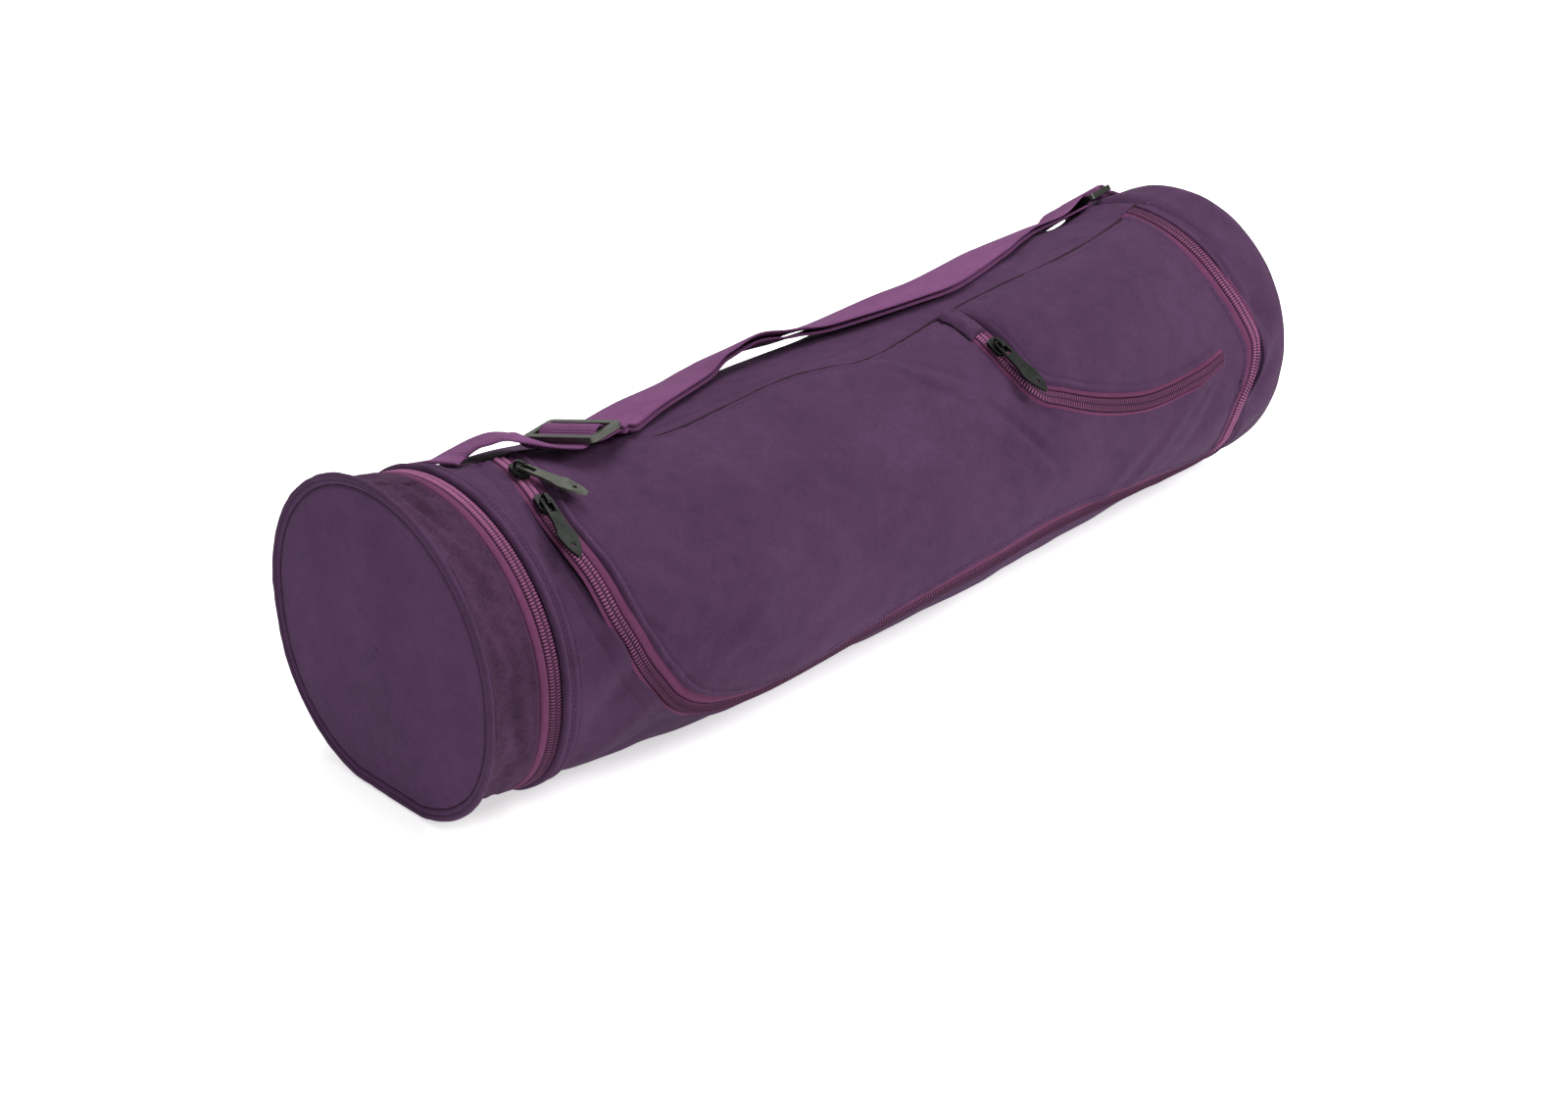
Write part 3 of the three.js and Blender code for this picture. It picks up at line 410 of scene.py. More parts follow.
def tube_lift(x, turn):
    """Relief of the tube's cloth: folds, soft waves, and the seam round the far end."""
    arc = arc_of(turn)
    lift = 1.4 * folded(x, turn, tube_folds) + 0.45 * waves(x, arc, 70, 3) + 0.16 * waves(x, arc, 24, 4)
    from_seam = np.abs(x - far_seam)
    pucker = np.sin(arc / 2.1 + 0.8 * waves(x, arc, 30, 5)) * np.exp(-from_seam / 7)
    ring = 1.4 * np.exp(-((from_seam - 7) / 6) ** 2) - 1.6 * np.exp(-(from_seam / 2.2) ** 2)
    lift = lift + 0.22 * pucker + ring
    near_ground = smoothstep(-np.cos(np.radians(turn)), 0.75, 0.97)
    return lift * (1 - near_ground)


def panel_lift(x, turn):
    """Relief of the front pocket's cloth, which dips into the seam along its top."""
    arc = arc_of(turn)
    from_seam, along_seam = seam_line.distance(x, turn)
    inner = smoothstep((turn - top_seam(x / bag_length)) * 1.6, 0, 16)
    fine = 1.5 * folded(x, turn, panel_folds) + 1.7 * folded(x, turn, panel_creases, 1.2)
    fine = fine + 0.42 * waves(x, arc, 60, 11) + 0.14 * waves(x, arc, 20, 12)
    pucker = np.sin(along_seam / 2.6 + 1.2 * waves(x, arc, 45, 13)) * np.exp(-from_seam / 9)
    rise = 1 - np.exp(-from_seam / 2.2)
    body = layer_gap + cloth + pocket_swell(x, turn)
    sewn = -1.2 * np.exp(-((from_seam - 7.5) / 1.0) ** 2) + 0.5 * np.exp(-((from_seam - 4.2) / 1.6) ** 2)
    return 0.3 + (body - 0.3) * rise + inner * fine + 0.42 * pucker * rise + sewn


def faces_of(rows, columns, round_rows=False, round_columns=False):
    i = np.arange(rows if round_rows else rows - 1)
    j = np.arange(columns if round_columns else columns - 1)
    i, j = np.meshgrid(i, j, indexing="ij")
    next_i, next_j = (i + 1) % rows, (j + 1) % columns
    row, next_row = i * columns, next_i * columns
    quads = np.stack([row + j, next_row + j, next_row + next_j, row + next_j], axis=-1)
    return quads.reshape(-1, 4)


def mesh_from(name, grids):
    """One object from grids, each (points, weave, closed by rows, closed by columns)."""
    points, weaves, faces, base = [], [], [], 0
    for grid, weave, round_rows, round_columns in grids:
        rows, columns = grid.shape[:2]
        points.append(grid.reshape(-1, 3) / METRE)
        weaves.append(np.broadcast_to(weave, (rows, columns, 2)).reshape(-1, 2))
        faces.append(faces_of(rows, columns, round_rows, round_columns) + base)
        base += rows * columns
    points, weaves, faces = np.vstack(points), np.vstack(weaves), np.vstack(faces)
    mesh = bpy.data.meshes.new(name)
    mesh.from_pydata(points.tolist(), [], faces.tolist())
    attribute = mesh.attributes.new("weave", "FLOAT_VECTOR", "POINT")
    flat = np.zeros((len(points), 3), np.float32)
    flat[:, :2] = weaves
    attribute.data.foreach_set("vector", flat.ravel())
    mesh.shade_smooth()
    obj = bpy.data.objects.new(name, mesh)
    bpy.context.scene.collection.objects.link(obj)
    return obj


def weave_of(x, turn):
    return np.stack(np.broadcast_arrays(x, arc_of(turn)), axis=-1)


def on_bag(x, turn, lift):
    """A grid on the bag with its weave places."""
    return skin(x, turn, lift), weave_of(x, turn), False, False


def finish_piece(obj, material, slot, *nodes, body="root"):
    obj.data.materials.clear()
    obj.data.materials.append(material)
    if nodes:
        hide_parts(*nodes)
    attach(obj, body)
    return obj


def dressed(name, grids, material, *nodes, thick=None, at=0, slot="bag_fabric"):
    """A piece of the bag from grids, faced away from the bag's axis, with its cloth's thickness."""
    piece = mesh_from(name, grids)
    axis = Vector((at / METRE, 0, axis_height))
    outside = sum(p.normal.dot(p.center - axis) * p.area for p in piece.data.polygons)
    if outside < 0:
        piece.data.flip_normals()
    if thick:
        solid = piece.modifiers.new("thickness", "SOLIDIFY")
        solid.thickness = thick / METRE
        solid.offset = -1
    return finish_piece(piece, material, slot, *nodes)


# Materials
def shade(red, green, blue):
    """A colour given as it looks on a screen, 0 to 255, for a shader."""
    levels = [channel / 255 for channel in (red, green, blue)]
    return [c / 12.92 if c <= 0.04045 else ((c + 0.055) / 1.055) ** 2.4 for c in levels] + [1.0]


class Shader:
    """Short words for building a material's nodes."""

    def __init__(self, name):
        self.material = bpy.data.materials.new(name)
        self.material.use_nodes = True
        self.tree = self.material.node_tree
        self.bsdf = self.tree.nodes["Principled BSDF"]

    def add(self, kind, inputs=(), **settings):
        node = self.tree.nodes.new("ShaderNode" + kind)
        for key, value in settings.items():
            setattr(node, key, value)
        for key, value in dict(inputs).items():
            if isinstance(value, bpy.types.NodeSocket):
                self.tree.links.new(value, node.inputs[key])
            else:
                node.inputs[key].default_value = value
        return node

    def math(self, operation, a, b=0.0):
        return self.add("Math", {0: a, 1: b}, operation=operation).outputs[0]

    def noise(self, vector, scale, detail=2.0, rough=0.5):
        inputs = {"Vector": vector, "Scale": scale, "Detail": detail, "Roughness": rough}
        return self.add("TexNoise", inputs).outputs["Fac"]

    def spread(self, value, low, high, to_low, to_high):
        inputs = {"Value": value, "From Min": low, "From Max": high, "To Min": to_low, "To Max": to_high}
        return self.add("MapRange", inputs).outputs["Result"]

    def set(self, **values):
        for key, value in values.items():
            self.bsdf.inputs[key.replace("_", " ")].default_value = value

    def link(self, socket, name):
        self.tree.links.new(socket, self.bsdf.inputs[name])


def ridges(shader, value, pitch):
    """A row of soft ridges, 0 to 1, across a distance."""
    turn = shader.math("MULTIPLY", value, 2 * math.pi / pitch)
    wave = shader.math("SINE", turn)
    return shader.math("MULTIPLY_ADD", wave, 0.5)


def cloth_material(name, dark, light, twill=0.85, plain=False, bump=0.5, sheen=0.1, speckle=0.5,
                   thread_tone=0.2):
    """Woven cloth: a twill or rib in the weave's own places, mottling at three scales and a soft nap."""
    s = Shader(name)
    place = s.add("Attribute", attribute_name="weave").outputs["Vector"]
    spot = s.add("TexCoord").outputs["Object"]
    parts = s.add("SeparateXYZ", {0: place})
    along, across = parts.outputs[0], parts.outputs[1]
    thread = ridges(s, along if plain else s.math("ADD", along, across), twill)
    cross = ridges(s, across, twill * (2.2 if plain else 0.6))
    weave = s.math("MULTIPLY", thread, s.spread(cross, 0, 1, 0.7 if plain else 0.6, 1))
    fuzz = s.noise(spot, 480, 4, 0.75)
    patch = s.noise(spot, 14, 3, 0.6)
    blotch = s.noise(spot, 90, 3, 0.6)
    patch_tone, blotch_tone, spread_tone = 0.55, 0.35, 0.42
    tone = s.math("ADD", s.math("MULTIPLY", fuzz, speckle), s.math("MULTIPLY", patch, patch_tone))
    tone = s.math("ADD", tone, s.math("MULTIPLY", blotch, blotch_tone))
    tone = s.math("ADD", tone, s.math("MULTIPLY", weave, thread_tone))
    middle_tone = (speckle + patch_tone + blotch_tone + thread_tone) / 2
    factor = s.spread(tone, middle_tone - spread_tone, middle_tone + spread_tone, 0, 1)
    colour = s.add("Mix", {0: factor, 6: dark, 7: light}, data_type="RGBA")
    s.link(colour.outputs[2], "Base Color")
    height = s.math("ADD", s.math("MULTIPLY", weave, 0.6), s.math("MULTIPLY", fuzz, 0.9))
    normal = s.add("Bump", {"Strength": bump, "Distance": 0.0005, "Height": height})
    s.link(normal.outputs["Normal"], "Normal")
    s.set(Roughness=0.92, Specular_IOR_Level=0.15)
    s.set(Sheen_Weight=sheen, Sheen_Roughness=0.45, Sheen_Tint=light)
    return s.material


def coil_material(name, dark, light):
    """Zip teeth: painted highlight on two rows of teeth, half a step apart, with painted shade between
    them, along the middle and towards the outer rims.
    """
    s = Shader(name)
    place = s.add("Attribute", attribute_name="weave").outputs["Vector"]
    spot = s.add("TexCoord").outputs["Object"]
    parts = s.add("SeparateXYZ", {0: place})
    along, across = parts.outputs[0], parts.outputs[1]
    shift = s.math("MULTIPLY", s.math("GREATER_THAN", across, 0.0), tooth_pitch / 2)
    tooth = ridges(s, s.math("ADD", along, shift), tooth_pitch)
    from_middle = s.math("ABSOLUTE", across)
    # Painted shade: darker along the middle valley and towards the coil's outer rims; the teeth's crests
    # carry a painted highlight.
    valley = s.spread(from_middle, 0.25, 0.9, 0.1, 1)
    rim = s.spread(from_middle, 2.9, 3.7, 1, 0.25)
    grain = s.spread(s.noise(spot, 700), 0.3, 0.7, 0.8, 1.1)
    lit = s.math("MULTIPLY", s.math("MULTIPLY", tooth, valley), s.math("MULTIPLY", rim, grain))
    colour = s.add("Mix", {0: lit, 6: dark, 7: light}, data_type="RGBA")
    s.link(colour.outputs[2], "Base Color")
    s.set(Roughness=0.65, Specular_IOR_Level=0.12)
    return s.material


def metal_material(name, colour, roughness, grain=0.15):
    s = Shader(name)
    spot = s.add("TexCoord").outputs["Object"]
    smear = s.noise(spot, 160, 4, 0.65)
    rough = s.spread(smear, 0.3, 0.7, roughness * 0.8, roughness * 1.25)
    s.link(rough, "Roughness")
    fine = s.noise(spot, 1400, 2, 0.5)
    normal = s.add("Bump", {"Strength": grain, "Distance": 0.00008, "Height": fine})
    s.link(normal.outputs["Normal"], "Normal")
    tint = s.add("Mix", {0: smear, 6: colour, 7: [c * 1.35 for c in colour[:3]] + [1]}, data_type="RGBA")
    s.link(tint.outputs[2], "Base Color")
    s.set(Metallic=1.0)
    return s.material


bag_cloth = cloth_material("bag_cloth", shade(43, 25, 46), shade(79, 51, 81))
lid_cloth = cloth_material("lid_cloth", shade(52, 30, 56), shade(82, 52, 86))
nap_cloth = cloth_material(
    "nap_cloth", shade(27, 13, 30), shade(78, 48, 76), twill=1.1, bump=0.8, sheen=0.2, speckle=0.9)
tape_cloth = cloth_material(
    "tape_cloth", shade(70, 34, 60), shade(100, 52, 84), twill=0.7, plain=True, bump=0.35)
# The coil's plum plastic, running from painted shade (dark) to painted highlight (light).
coil_plastic_lit_shaded = coil_material("coil_plastic_lit_shaded", shade(42, 17, 38), shade(142, 84, 122))
strap_cloth = cloth_material(
    "strap_cloth", shade(78, 42, 75), shade(118, 72, 113), twill=1.6, plain=True, bump=0.9,
    thread_tone=0.6)
thread = cloth_material(
    "thread", shade(66, 42, 70), shade(92, 62, 94), twill=0.4, plain=True, bump=0.3)
# Painted shade: a near-black cloth for the strips laid under the zip teeth and in the seams' grooves, where
# there is only shade.
painted_shade_cloth = cloth_material(
    "painted_shade_cloth", shade(26, 10, 22), shade(44, 22, 38), twill=0.7, plain=True, sheen=0.0)
# Gunmetal for the glide; the upper pull tab also takes it as a painted reflection.
gunmetal_and_tab_reflection = metal_material("gunmetal_and_tab_reflection", shade(84, 86, 79), 0.42)
# Darker than the glide's metal to match the ring's shaded bar: the metal's own colour with painted shade.
steel_and_ring_shade = metal_material("steel_and_ring_shade", shade(52, 55, 50), 0.4)
black_nickel = metal_material("black_nickel", shade(50, 52, 50), 0.3)


# Tube
def tube():
    edge_steps = [(1.2, -0.3), (2.3, -1.2), (2.9, -2.6), (2.7, -4.2)]
    rows = np.concatenate([
        np.linspace(tube_start - 3, far_seam - 12, 180),
        np.linspace(far_seam - 10.5, far_seam + 10.5, 15),
        np.linspace(far_seam + 13, far_edge - 3, 12),
    ])
    turns = round_turns(200)
    x, turn = np.meshgrid(rows, turns, indexing="ij")
    body = skin(x, turn, tube_lift(x, turn))
    x_end = np.full_like(turns, far_edge - 3)
    end_lift = tube_lift(x_end, turns)
    rounded_end = [skin(x_end, turns, end_lift + lift) + [step, 0, 0] for step, lift in edge_steps]
    grid = np.concatenate([body, np.stack(rounded_end)])
    all_rows = np.concatenate([rows, [far_edge + step for step, _ in edge_steps]])
    x, turn = np.meshgrid(all_rows, turns, indexing="ij")
    grids = [(grid, weave_of(x, turn), False, True)]
    dressed("tube_cloth", grids, bag_cloth, "main_tube", thick=thick_cloth)


def disc_grid(x, lift, shares, count):
    """Rings of points from the middle of the bag's section at x out to its rim, at shares of the way."""
    turns = round_turns(count)
    rim = skin(np.full_like(turns, x), turns, lift)
    centre = np.array([0, 0, np.mean(rim[:, 2])])
    return centre + (rim - centre)[None] * shares[:, None, None]


def far_panel():
    """The round panel sewn into the far end, a little domed."""
    shares = np.concatenate([[0.002], np.linspace(0.05, 1, 34)])
    grid = disc_grid(far_edge, -2.6, shares, 144)
    wrinkle = 0.5 * waves(grid[..., 1], grid[..., 2], 46, 21) * np.sin(np.pi * shares)[:, None]
    grid[..., 0] = far_edge - 1.6 + 2.2 * (1 - shares[:, None] ** 2) + wrinkle
    dressed("far_panel", [(grid, grid[..., 1:], False, True)], bag_cloth, "far_end", thick=thick_cloth)


def thinned(line):
    """The same line with one sample for each tooth."""
    thin = Line.__new__(Line)
    for name in ("run", "flat", "across"):
        setattr(thin, name, getattr(line, name)[::tooth_samples])
    return thin


def crowded(count, both):
    """Shares from 0 to 1 that crowd at the end, or at both ends."""
    even = np.linspace(0, 1, count)
    dense = (1 - np.cos(np.pi * even)) / 2 if both else np.sin(np.pi * even / 2)
    return 0.3 * even + 0.7 * dense


def rolled_hem(away, height):
    """Height that a folded edge adds to cloth, by how far in from the edge a place is."""
    drop = -height * np.exp(-np.maximum(away, 0) / 0.7)
    return drop + 0.7 * np.exp(-((away - 2.4) / 1.2) ** 2) - 0.55 * np.exp(-((away - 5.0) / 0.9) ** 2)


def slope_of(edge, x):
    """How steeply an edge table climbs round the bag at x."""
    reach = 3
    climb = edge((x + reach) / bag_length) - edge((x - reach) / bag_length)
    return np.radians(climb) * middle / (2 * reach)


def front_pocket():
    """The front pocket's panel, with the rolled hem that runs round it beside the zip's tape."""
    inset = half_teeth + tape_width - 0.4
    u, v = np.meshgrid(crowded(280, True), crowded(140, False), indexing="ij")

    def side(edge, turn, by):
        slope = (edge(turn + 1) - edge(turn - 1)) * bag_length / (2 * np.radians(1) * middle)
        return edge(turn) * bag_length + by * np.hypot(1, slope)

    def low(x):
        return bottom_edge(x / bag_length) - turn_of(inset * np.hypot(1, slope_of(bottom_edge, x)))

    turn = top_seam(np.zeros_like(u)) * (1 - v) + low(np.zeros_like(u)) * v
    for _ in range(6):
        x = side(left_edge, turn, inset) * (1 - u) + side(right_edge, turn, -inset) * u
        turn = top_seam(x / bag_length) * (1 - v) + low(x) * v
    away, _ = pocket_line.distance(x, turn)
    panel = on_bag(x, turn, panel_lift(x, turn) + rolled_hem(away - inset, 2.6))
    dressed("pocket_cloth", [panel], bag_cloth, "front_pocket", thick=1.2)


def tube_hem():
    """The tube's own folded edge on the outer side of the front zip."""
    steps = [5.2, 5.0, 5.3, 6.2, 7.6, 9.0, 10.6, 13.0, 16.0]
    lifts = [0.6, 1.6, 2.3, 2.7, 2.5, 1.9, 1.7, 0.9, -0.4]
    x, turn = thinned(pocket_line).places(-np.array(steps))
    dressed("pocket_opening_hem", [on_bag(x, turn, tube_lift(x, turn) + np.array(lifts))], bag_cloth)


# Zips
def level(height):
    """A zip's base at one height over the bag's plain outline."""
    return lambda x, turn: np.full(np.shape(x), height)


def run_weave(line, steps):
    return np.stack(np.broadcast_arrays(line.run[:, None], np.asarray(steps)[None, :]), axis=-1)


def coil(name, line, base, height, node, closed=False, at=0):
    """A row of interlocked zip teeth: ridges across the zip with a valley along its middle."""
    steps = np.linspace(-half_teeth, half_teeth, 15)
    across = np.abs(steps) / half_teeth
    phase = line.run[:, None] / tooth_pitch
    shift = np.where(steps[None, :] > 0, 0.5, 0.0)
    ridge = 0.5 + 0.5 * np.cos(2 * np.pi * (phase + shift))
    crown = 1 - 0.55 * across ** 4 - 0.42 * np.exp(-(across / 0.16) ** 2)
    rim = smoothstep(1 - across, 0, 0.16)
    lift = height * (0.28 + crown[None, :] * (0.24 + 0.46 * ridge)) * rim[None, :]
    x, turn = line.places(steps)
    grid = skin(x, turn, base(x, turn) + lift)
    grids = [(grid, run_weave(line, steps), closed, False)]
    dressed(name, grids, coil_plastic_lit_shaded, node, at=at, slot="zip_fabric")


def tape(name, line, steps, lifts, base, material, *nodes):
    """A strip beside or under the teeth: places across the zip and heights over its base."""
    line = thinned(line)
    x, turn = line.places(steps)
    grid = skin(x, turn, base(x, turn) + np.asarray(lifts)[None, :])
    dressed(name, [(grid, run_weave(line, steps), False, False)], material, *nodes, slot="zip_fabric")


def front_zip():
    base = level(zip_lift)
    steps = np.array([4.1, 4.2, 4.8, 6.5, 8.5, 10.5])
    lifts = [-0.6, 0.6, 1.1, 1.3, 1.1, 0.4]
    coil("front_zip_teeth", pocket_line, base, teeth_height, "pocket_zip_teeth")
    tape("front_zip_tape", pocket_line, steps, lifts, base, tape_cloth, "pocket_zip_tape")
    tape("front_zip_edge", pocket_line, -steps[:4] * 1.02, [-0.6, 0.6, 0.9, 0.3], base, tape_cloth)
    # A strip of painted shade under the teeth and tapes.
    tape("front_zip_shade", pocket_line, [-6.5, 0.0, 6.5], [-0.5] * 3, base, painted_shade_cloth)


def small_zip():
    def base(x, turn):
        return panel_lift(x, turn) + small_zip_lift

    steps = np.array([4.1, 4.2, 4.8, 6.0, 7.6])
    lifts = [-0.5, 0.5, 0.9, 1.0, 0.5]
    coil("small_zip_coil", small_line, base, 2.0, "small_zip_teeth")
    tape("small_zip_band", small_line, steps, lifts, base, tape_cloth, "small_zip_tape")
    tape("small_zip_edge", small_line, -steps[:4] * 1.02, [-0.6, 0.3, 0.5, -0.8], base, tape_cloth)
    # A strip of painted shade under the teeth and tapes.
    tape("small_zip_shade", small_line, [-5.5, 0.0, 5.5], [-0.6, 0.0, -0.6], base, painted_shade_cloth)


# Small pocket
def small_bottom(x):
    """Turn of the small zip at x, held still where the zip climbs to its garage."""
    return small_edge(np.maximum(x / bag_length, small_edge_rows[0][0] + 0.016))


def small_lift(x, turn):
    """The small pocket bulges over the front pocket, and sinks into it along its top and its far side."""
    start = small_edge_rows[0][0] * bag_length + small_beside
    finish = small_edge_rows[-1][0] * bag_length + small_tail
    top = top_seam(x / bag_length)
    low = small_bottom(x) - turn_of(small_beside)
    across = np.clip((x - start) / (finish - start), 0, 1)
    down = np.clip((turn - top) / (low - top), 0, 1)
    bulge = np.sin(np.pi * np.sqrt(across)) * np.sin(np.pi * down ** 1.2)
    lip = 1.7 * (1 - smoothstep(across, 0.82, 0.97)) * smoothstep(down, 0.0, 0.25)
    wrinkle = 0.35 * waves(x, arc_of(turn), 38, 31) * bulge
    return small_pocket_puff * bulge + 1.6 * lip * smoothstep(across, 0, 0.02) + wrinkle


def small_pocket():
    inset = small_beside - 1.4
    corner_turn, corner_lean = 40, 0.35
    steepest = 1.6
    start = small_edge_rows[0][0] * bag_length + inset
    finish = small_edge_rows[-1][0] * bag_length + small_tail
    u, v = np.meshgrid(crowded(150, True), crowded(110, False), indexing="ij")

    def low(x):
        slope = np.minimum(slope_of(small_edge, x), steepest)
        return small_bottom(x) - turn_of(inset * np.hypot(1, slope))

    turn = corner_turn * v
    for _ in range(6):
        left = start + corner_lean * np.maximum(turn - corner_turn, 0)
        x = left * (1 - u) + finish * u
        turn = (top_seam(x / bag_length) + 1.0) * (1 - v) + low(x) * v
    away, _ = small_line.distance(x, turn)
    hem_fade = 1 - smoothstep(x, finish - 30, finish - 8)
    edge = rolled_hem(away - inset, 2.4) * hem_fade
    panel = on_bag(x, turn, panel_lift(x, turn) + small_lift(x, turn) + edge)
    dressed("small_pocket_cloth", [panel], bag_cloth, "small_pocket", thick=thin_cloth)


def zip_garage():
    """The small cloth cover over the top end of the small zip."""
    wing = 7.6
    line = Line(rows_flat([(0.115, 9.5), (0.115, 18), (0.1156, 28.5)]), 0.5)
    steps = np.linspace(-wing, wing, 25)
    share = np.abs(steps) / wing
    ends = np.minimum(line.run, line.run[-1] - line.run)[:, None]
    crown = (1 - share ** 3)[None, :] * smoothstep(ends, -0.5, 2.2)
    x, turn = line.places(steps)
    crumple = 0.45 * waves(x, arc_of(turn), 8, 41)
    cover = on_bag(x, turn, panel_lift(x, turn) + 1.2 + 3.4 * crown + crumple * crown)
    dressed("garage_cloth", [cover], bag_cloth, "zip_garage", thick=thin_cloth)


# Lid
def ring_line(x):
    """A closed ring round the bag at x, sampled for zip teeth."""
    count = int(2 * math.pi * middle / tooth_pitch) * tooth_samples
    ring = Line.__new__(Line)
    arc = np.linspace(0, 2 * math.pi * middle, count + 1)[:-1]
    ring.run = arc
    ring.flat = np.stack([np.full_like(arc, x), arc], axis=1)
    ring.across = np.tile([1.0, 0.0], (count, 1))
    return ring


def hoop(name, x, steps, lifts, material, *nodes, ripple=0.0, seed=50, thick=None, slot="bag_fabric"):
    """A closed ring of cloth round the bag from a profile of steps along it and lifts."""
    turns = round_turns(260)
    steps, lifts = np.asarray(steps, float), np.asarray(lifts, float)
    x_grid, turn = np.broadcast_arrays(x + steps[None, :], turns[:, None])
    wobble = ripple * waves(x_grid * 0.3, arc_of(turn), 22, seed)
    grid = skin(x_grid, turn, lifts[None, :] + wobble)
    grids = [(grid, weave_of(x_grid, turn), True, False)]
    dressed(name, grids, material, *nodes, thick=thick, at=x, slot=slot)


def lid_panel():
    """The lid's round panel, slack and lightly dented, with a sewn channel inside the piping."""
    shares = np.concatenate([[0.002], np.linspace(0.03, 0.9, 60), np.linspace(0.91, 1, 16)])
    turns = round_turns(240)
    grid = disc_grid(lid_end + 2, -1.0, shares, len(turns))
    edge = (1 - shares)[:, None] * middle
    side, up = grid[..., 1], grid[..., 2]
    dents = 0.9 * waves(side, up, 75, 61) + 0.22 * waves(side, up, 26, 62)
    dents = dents * smoothstep(edge, 2, 24)
    channel = -0.8 * np.exp(-((edge - 3.5) / 1.0) ** 2) + 0.5 * np.exp(-((edge - 1.4) / 1.2) ** 2)
    pucker = 0.12 * np.sin(turns / 1.35)[None, :] * np.exp(-((edge - 7) / 5) ** 2)
    grid[..., 0] = lid_end + 1.6 - (dents + channel + pucker) - 0.8 * smoothstep(edge, 0, 40)
    dressed("lid_panel", [(grid, grid[..., 1:], False, True)], lid_cloth, "lid_disc", thick=1.2)


def lid_edge():
    """The round piping in the lid's rim."""
    half = 1.9
    angles = np.radians(round_turns(14))
    turns = round_turns(400)
    swell = 1 + 0.06 * waves(arc_of(turns), 0 * turns, 12, 71)[:, None]
    x = lid_end + half + 0.2 + half * np.cos(angles)[None, :] * swell
    lift = half * np.sin(angles)[None, :] * swell + 0.5
    x, turn, lift = np.broadcast_arrays(x, turns[:, None], lift)
    grids = [(skin(x, turn, lift), weave_of(x, turn), True, True)]
    dressed("lid_piping_cloth", grids, bag_cloth, "lid_piping", at=lid_end)


def lid_band():
    """The lid's side: a narrow band of cloth, slack between the piping and its zip."""
    edge_gap, seam_overlap, ground_side = 3.4, 0.6, -0.9
    start, finish = lid_end + edge_gap, lid_seam + seam_overlap
    share, turn = np.meshgrid(np.linspace(0, 1, 26), round_turns(300), indexing="ij")
    x = start + (finish - start) * share
    arc = arc_of(turn)
    slack = np.sin(np.pi * share)
    crumple = 0.9 * waves(x * 0.8, arc * 0.55, 17, 81) + 0.55 * waves(x, arc, 11, 82)
    crumple = crumple + 0.9 * waves(x * 0.5, arc * 0.5, 34, 83)
    roll = 0.5 * np.exp(-((share - 0.07) / 0.05) ** 2) - 1.5 * np.exp(-(share / 0.025) ** 2)
    roll = roll - 1.4 * np.exp(-((1 - share) / 0.03) ** 2) + 0.5 * np.exp(-((share - 0.93) / 0.04) ** 2)
    lift = -2.2 * slack + 1.35 * crumple * slack + roll
    lift = np.where(np.cos(np.radians(turn)) < ground_side, np.minimum(lift, -0.4), lift)
    grids = [(skin(x, turn, lift), weave_of(x, turn), False, True)]
    dressed("lid_side", grids, nap_cloth, "lid_band", thick=1.2, at=(start + finish) / 2)


def lid_closure():
    """The lid's zip: teeth in a closed ring, the tape beside them and a ring of painted shade under both.
    """
    steps = [0.0, 0.2, 0.9, 2.4, 4.2, 5.2, 5.7, 5.8]
    lifts = [-1.6, -0.3, 0.3, 0.5, 0.4, 0.1, -0.6, -1.6]
    ring = ring_line(lid_zip)
    coil("lid_zip_coil", ring, level(-1.2), teeth_height, "lid_zip_teeth", closed=True, at=lid_zip)
    hoop("lid_zip_band", lid_seam, steps, lifts, tape_cloth, "lid_zip_tape", slot="zip_fabric")
    # A ring of painted shade under the teeth and tape.
    hoop("lid_zip_shade", lid_seam, [-0.9, 2.0, 6.0, 12.0, 15.6], [-1.7] * 5, painted_shade_cloth, slot="zip_fabric")


def flap():
    """The rolled edge of the tube beside the lid's zip, with a second ridge and a sewn seam behind it."""
    steps = [1.6, 0.4, 0.1, 0.5, 1.6, 3.0, 4.4, 5.4, 6.2, 7.4, 9.0, 10.4, 11.2, 12.0, 13.2, 14.5]
    lifts = [-2.0, -1.2, 0.9, 2.5, 3.6, 3.7, 2.9, 1.7, 1.6, 2.8, 2.9, 1.7, 0.1, -0.2, 0.6, -0.3]
    hoop("flap_cloth", flap_start, steps, lifts, bag_cloth, "zip_flap",
         ripple=0.18, seed=91, thick=thin_cloth)


def seam_shades():
    """Strips of painted shade laid in the sewn seams' grooves: on the pocket's top, round the lid and at
    the far end.
    """
    x, turn = seam_line.places([-1.2, 0.0, 1.2])
    dressed("top_seam_shade", [on_bag(x, turn, tube_lift(x, turn) + 1.5)], painted_shade_cloth)
    grid = disc_grid(lid_end + 2, -1.0, np.array([1 - 3.8 / middle, 1 - 3.2 / middle]), 240)
    grid[..., 0] = lid_end + 1.95
    dressed("lid_disc_shade", [(grid, grid[..., 1:], False, True)], painted_shade_cloth)
    hoop("lid_side_shade", lid_end + 3.5, [0.0, 0.7, 1.5], [-0.2, -0.3, -0.5], painted_shade_cloth)
    hoop("far_seam_shade", far_seam, [-0.7, 0.0, 0.7], [-0.9] * 3, painted_shade_cloth)


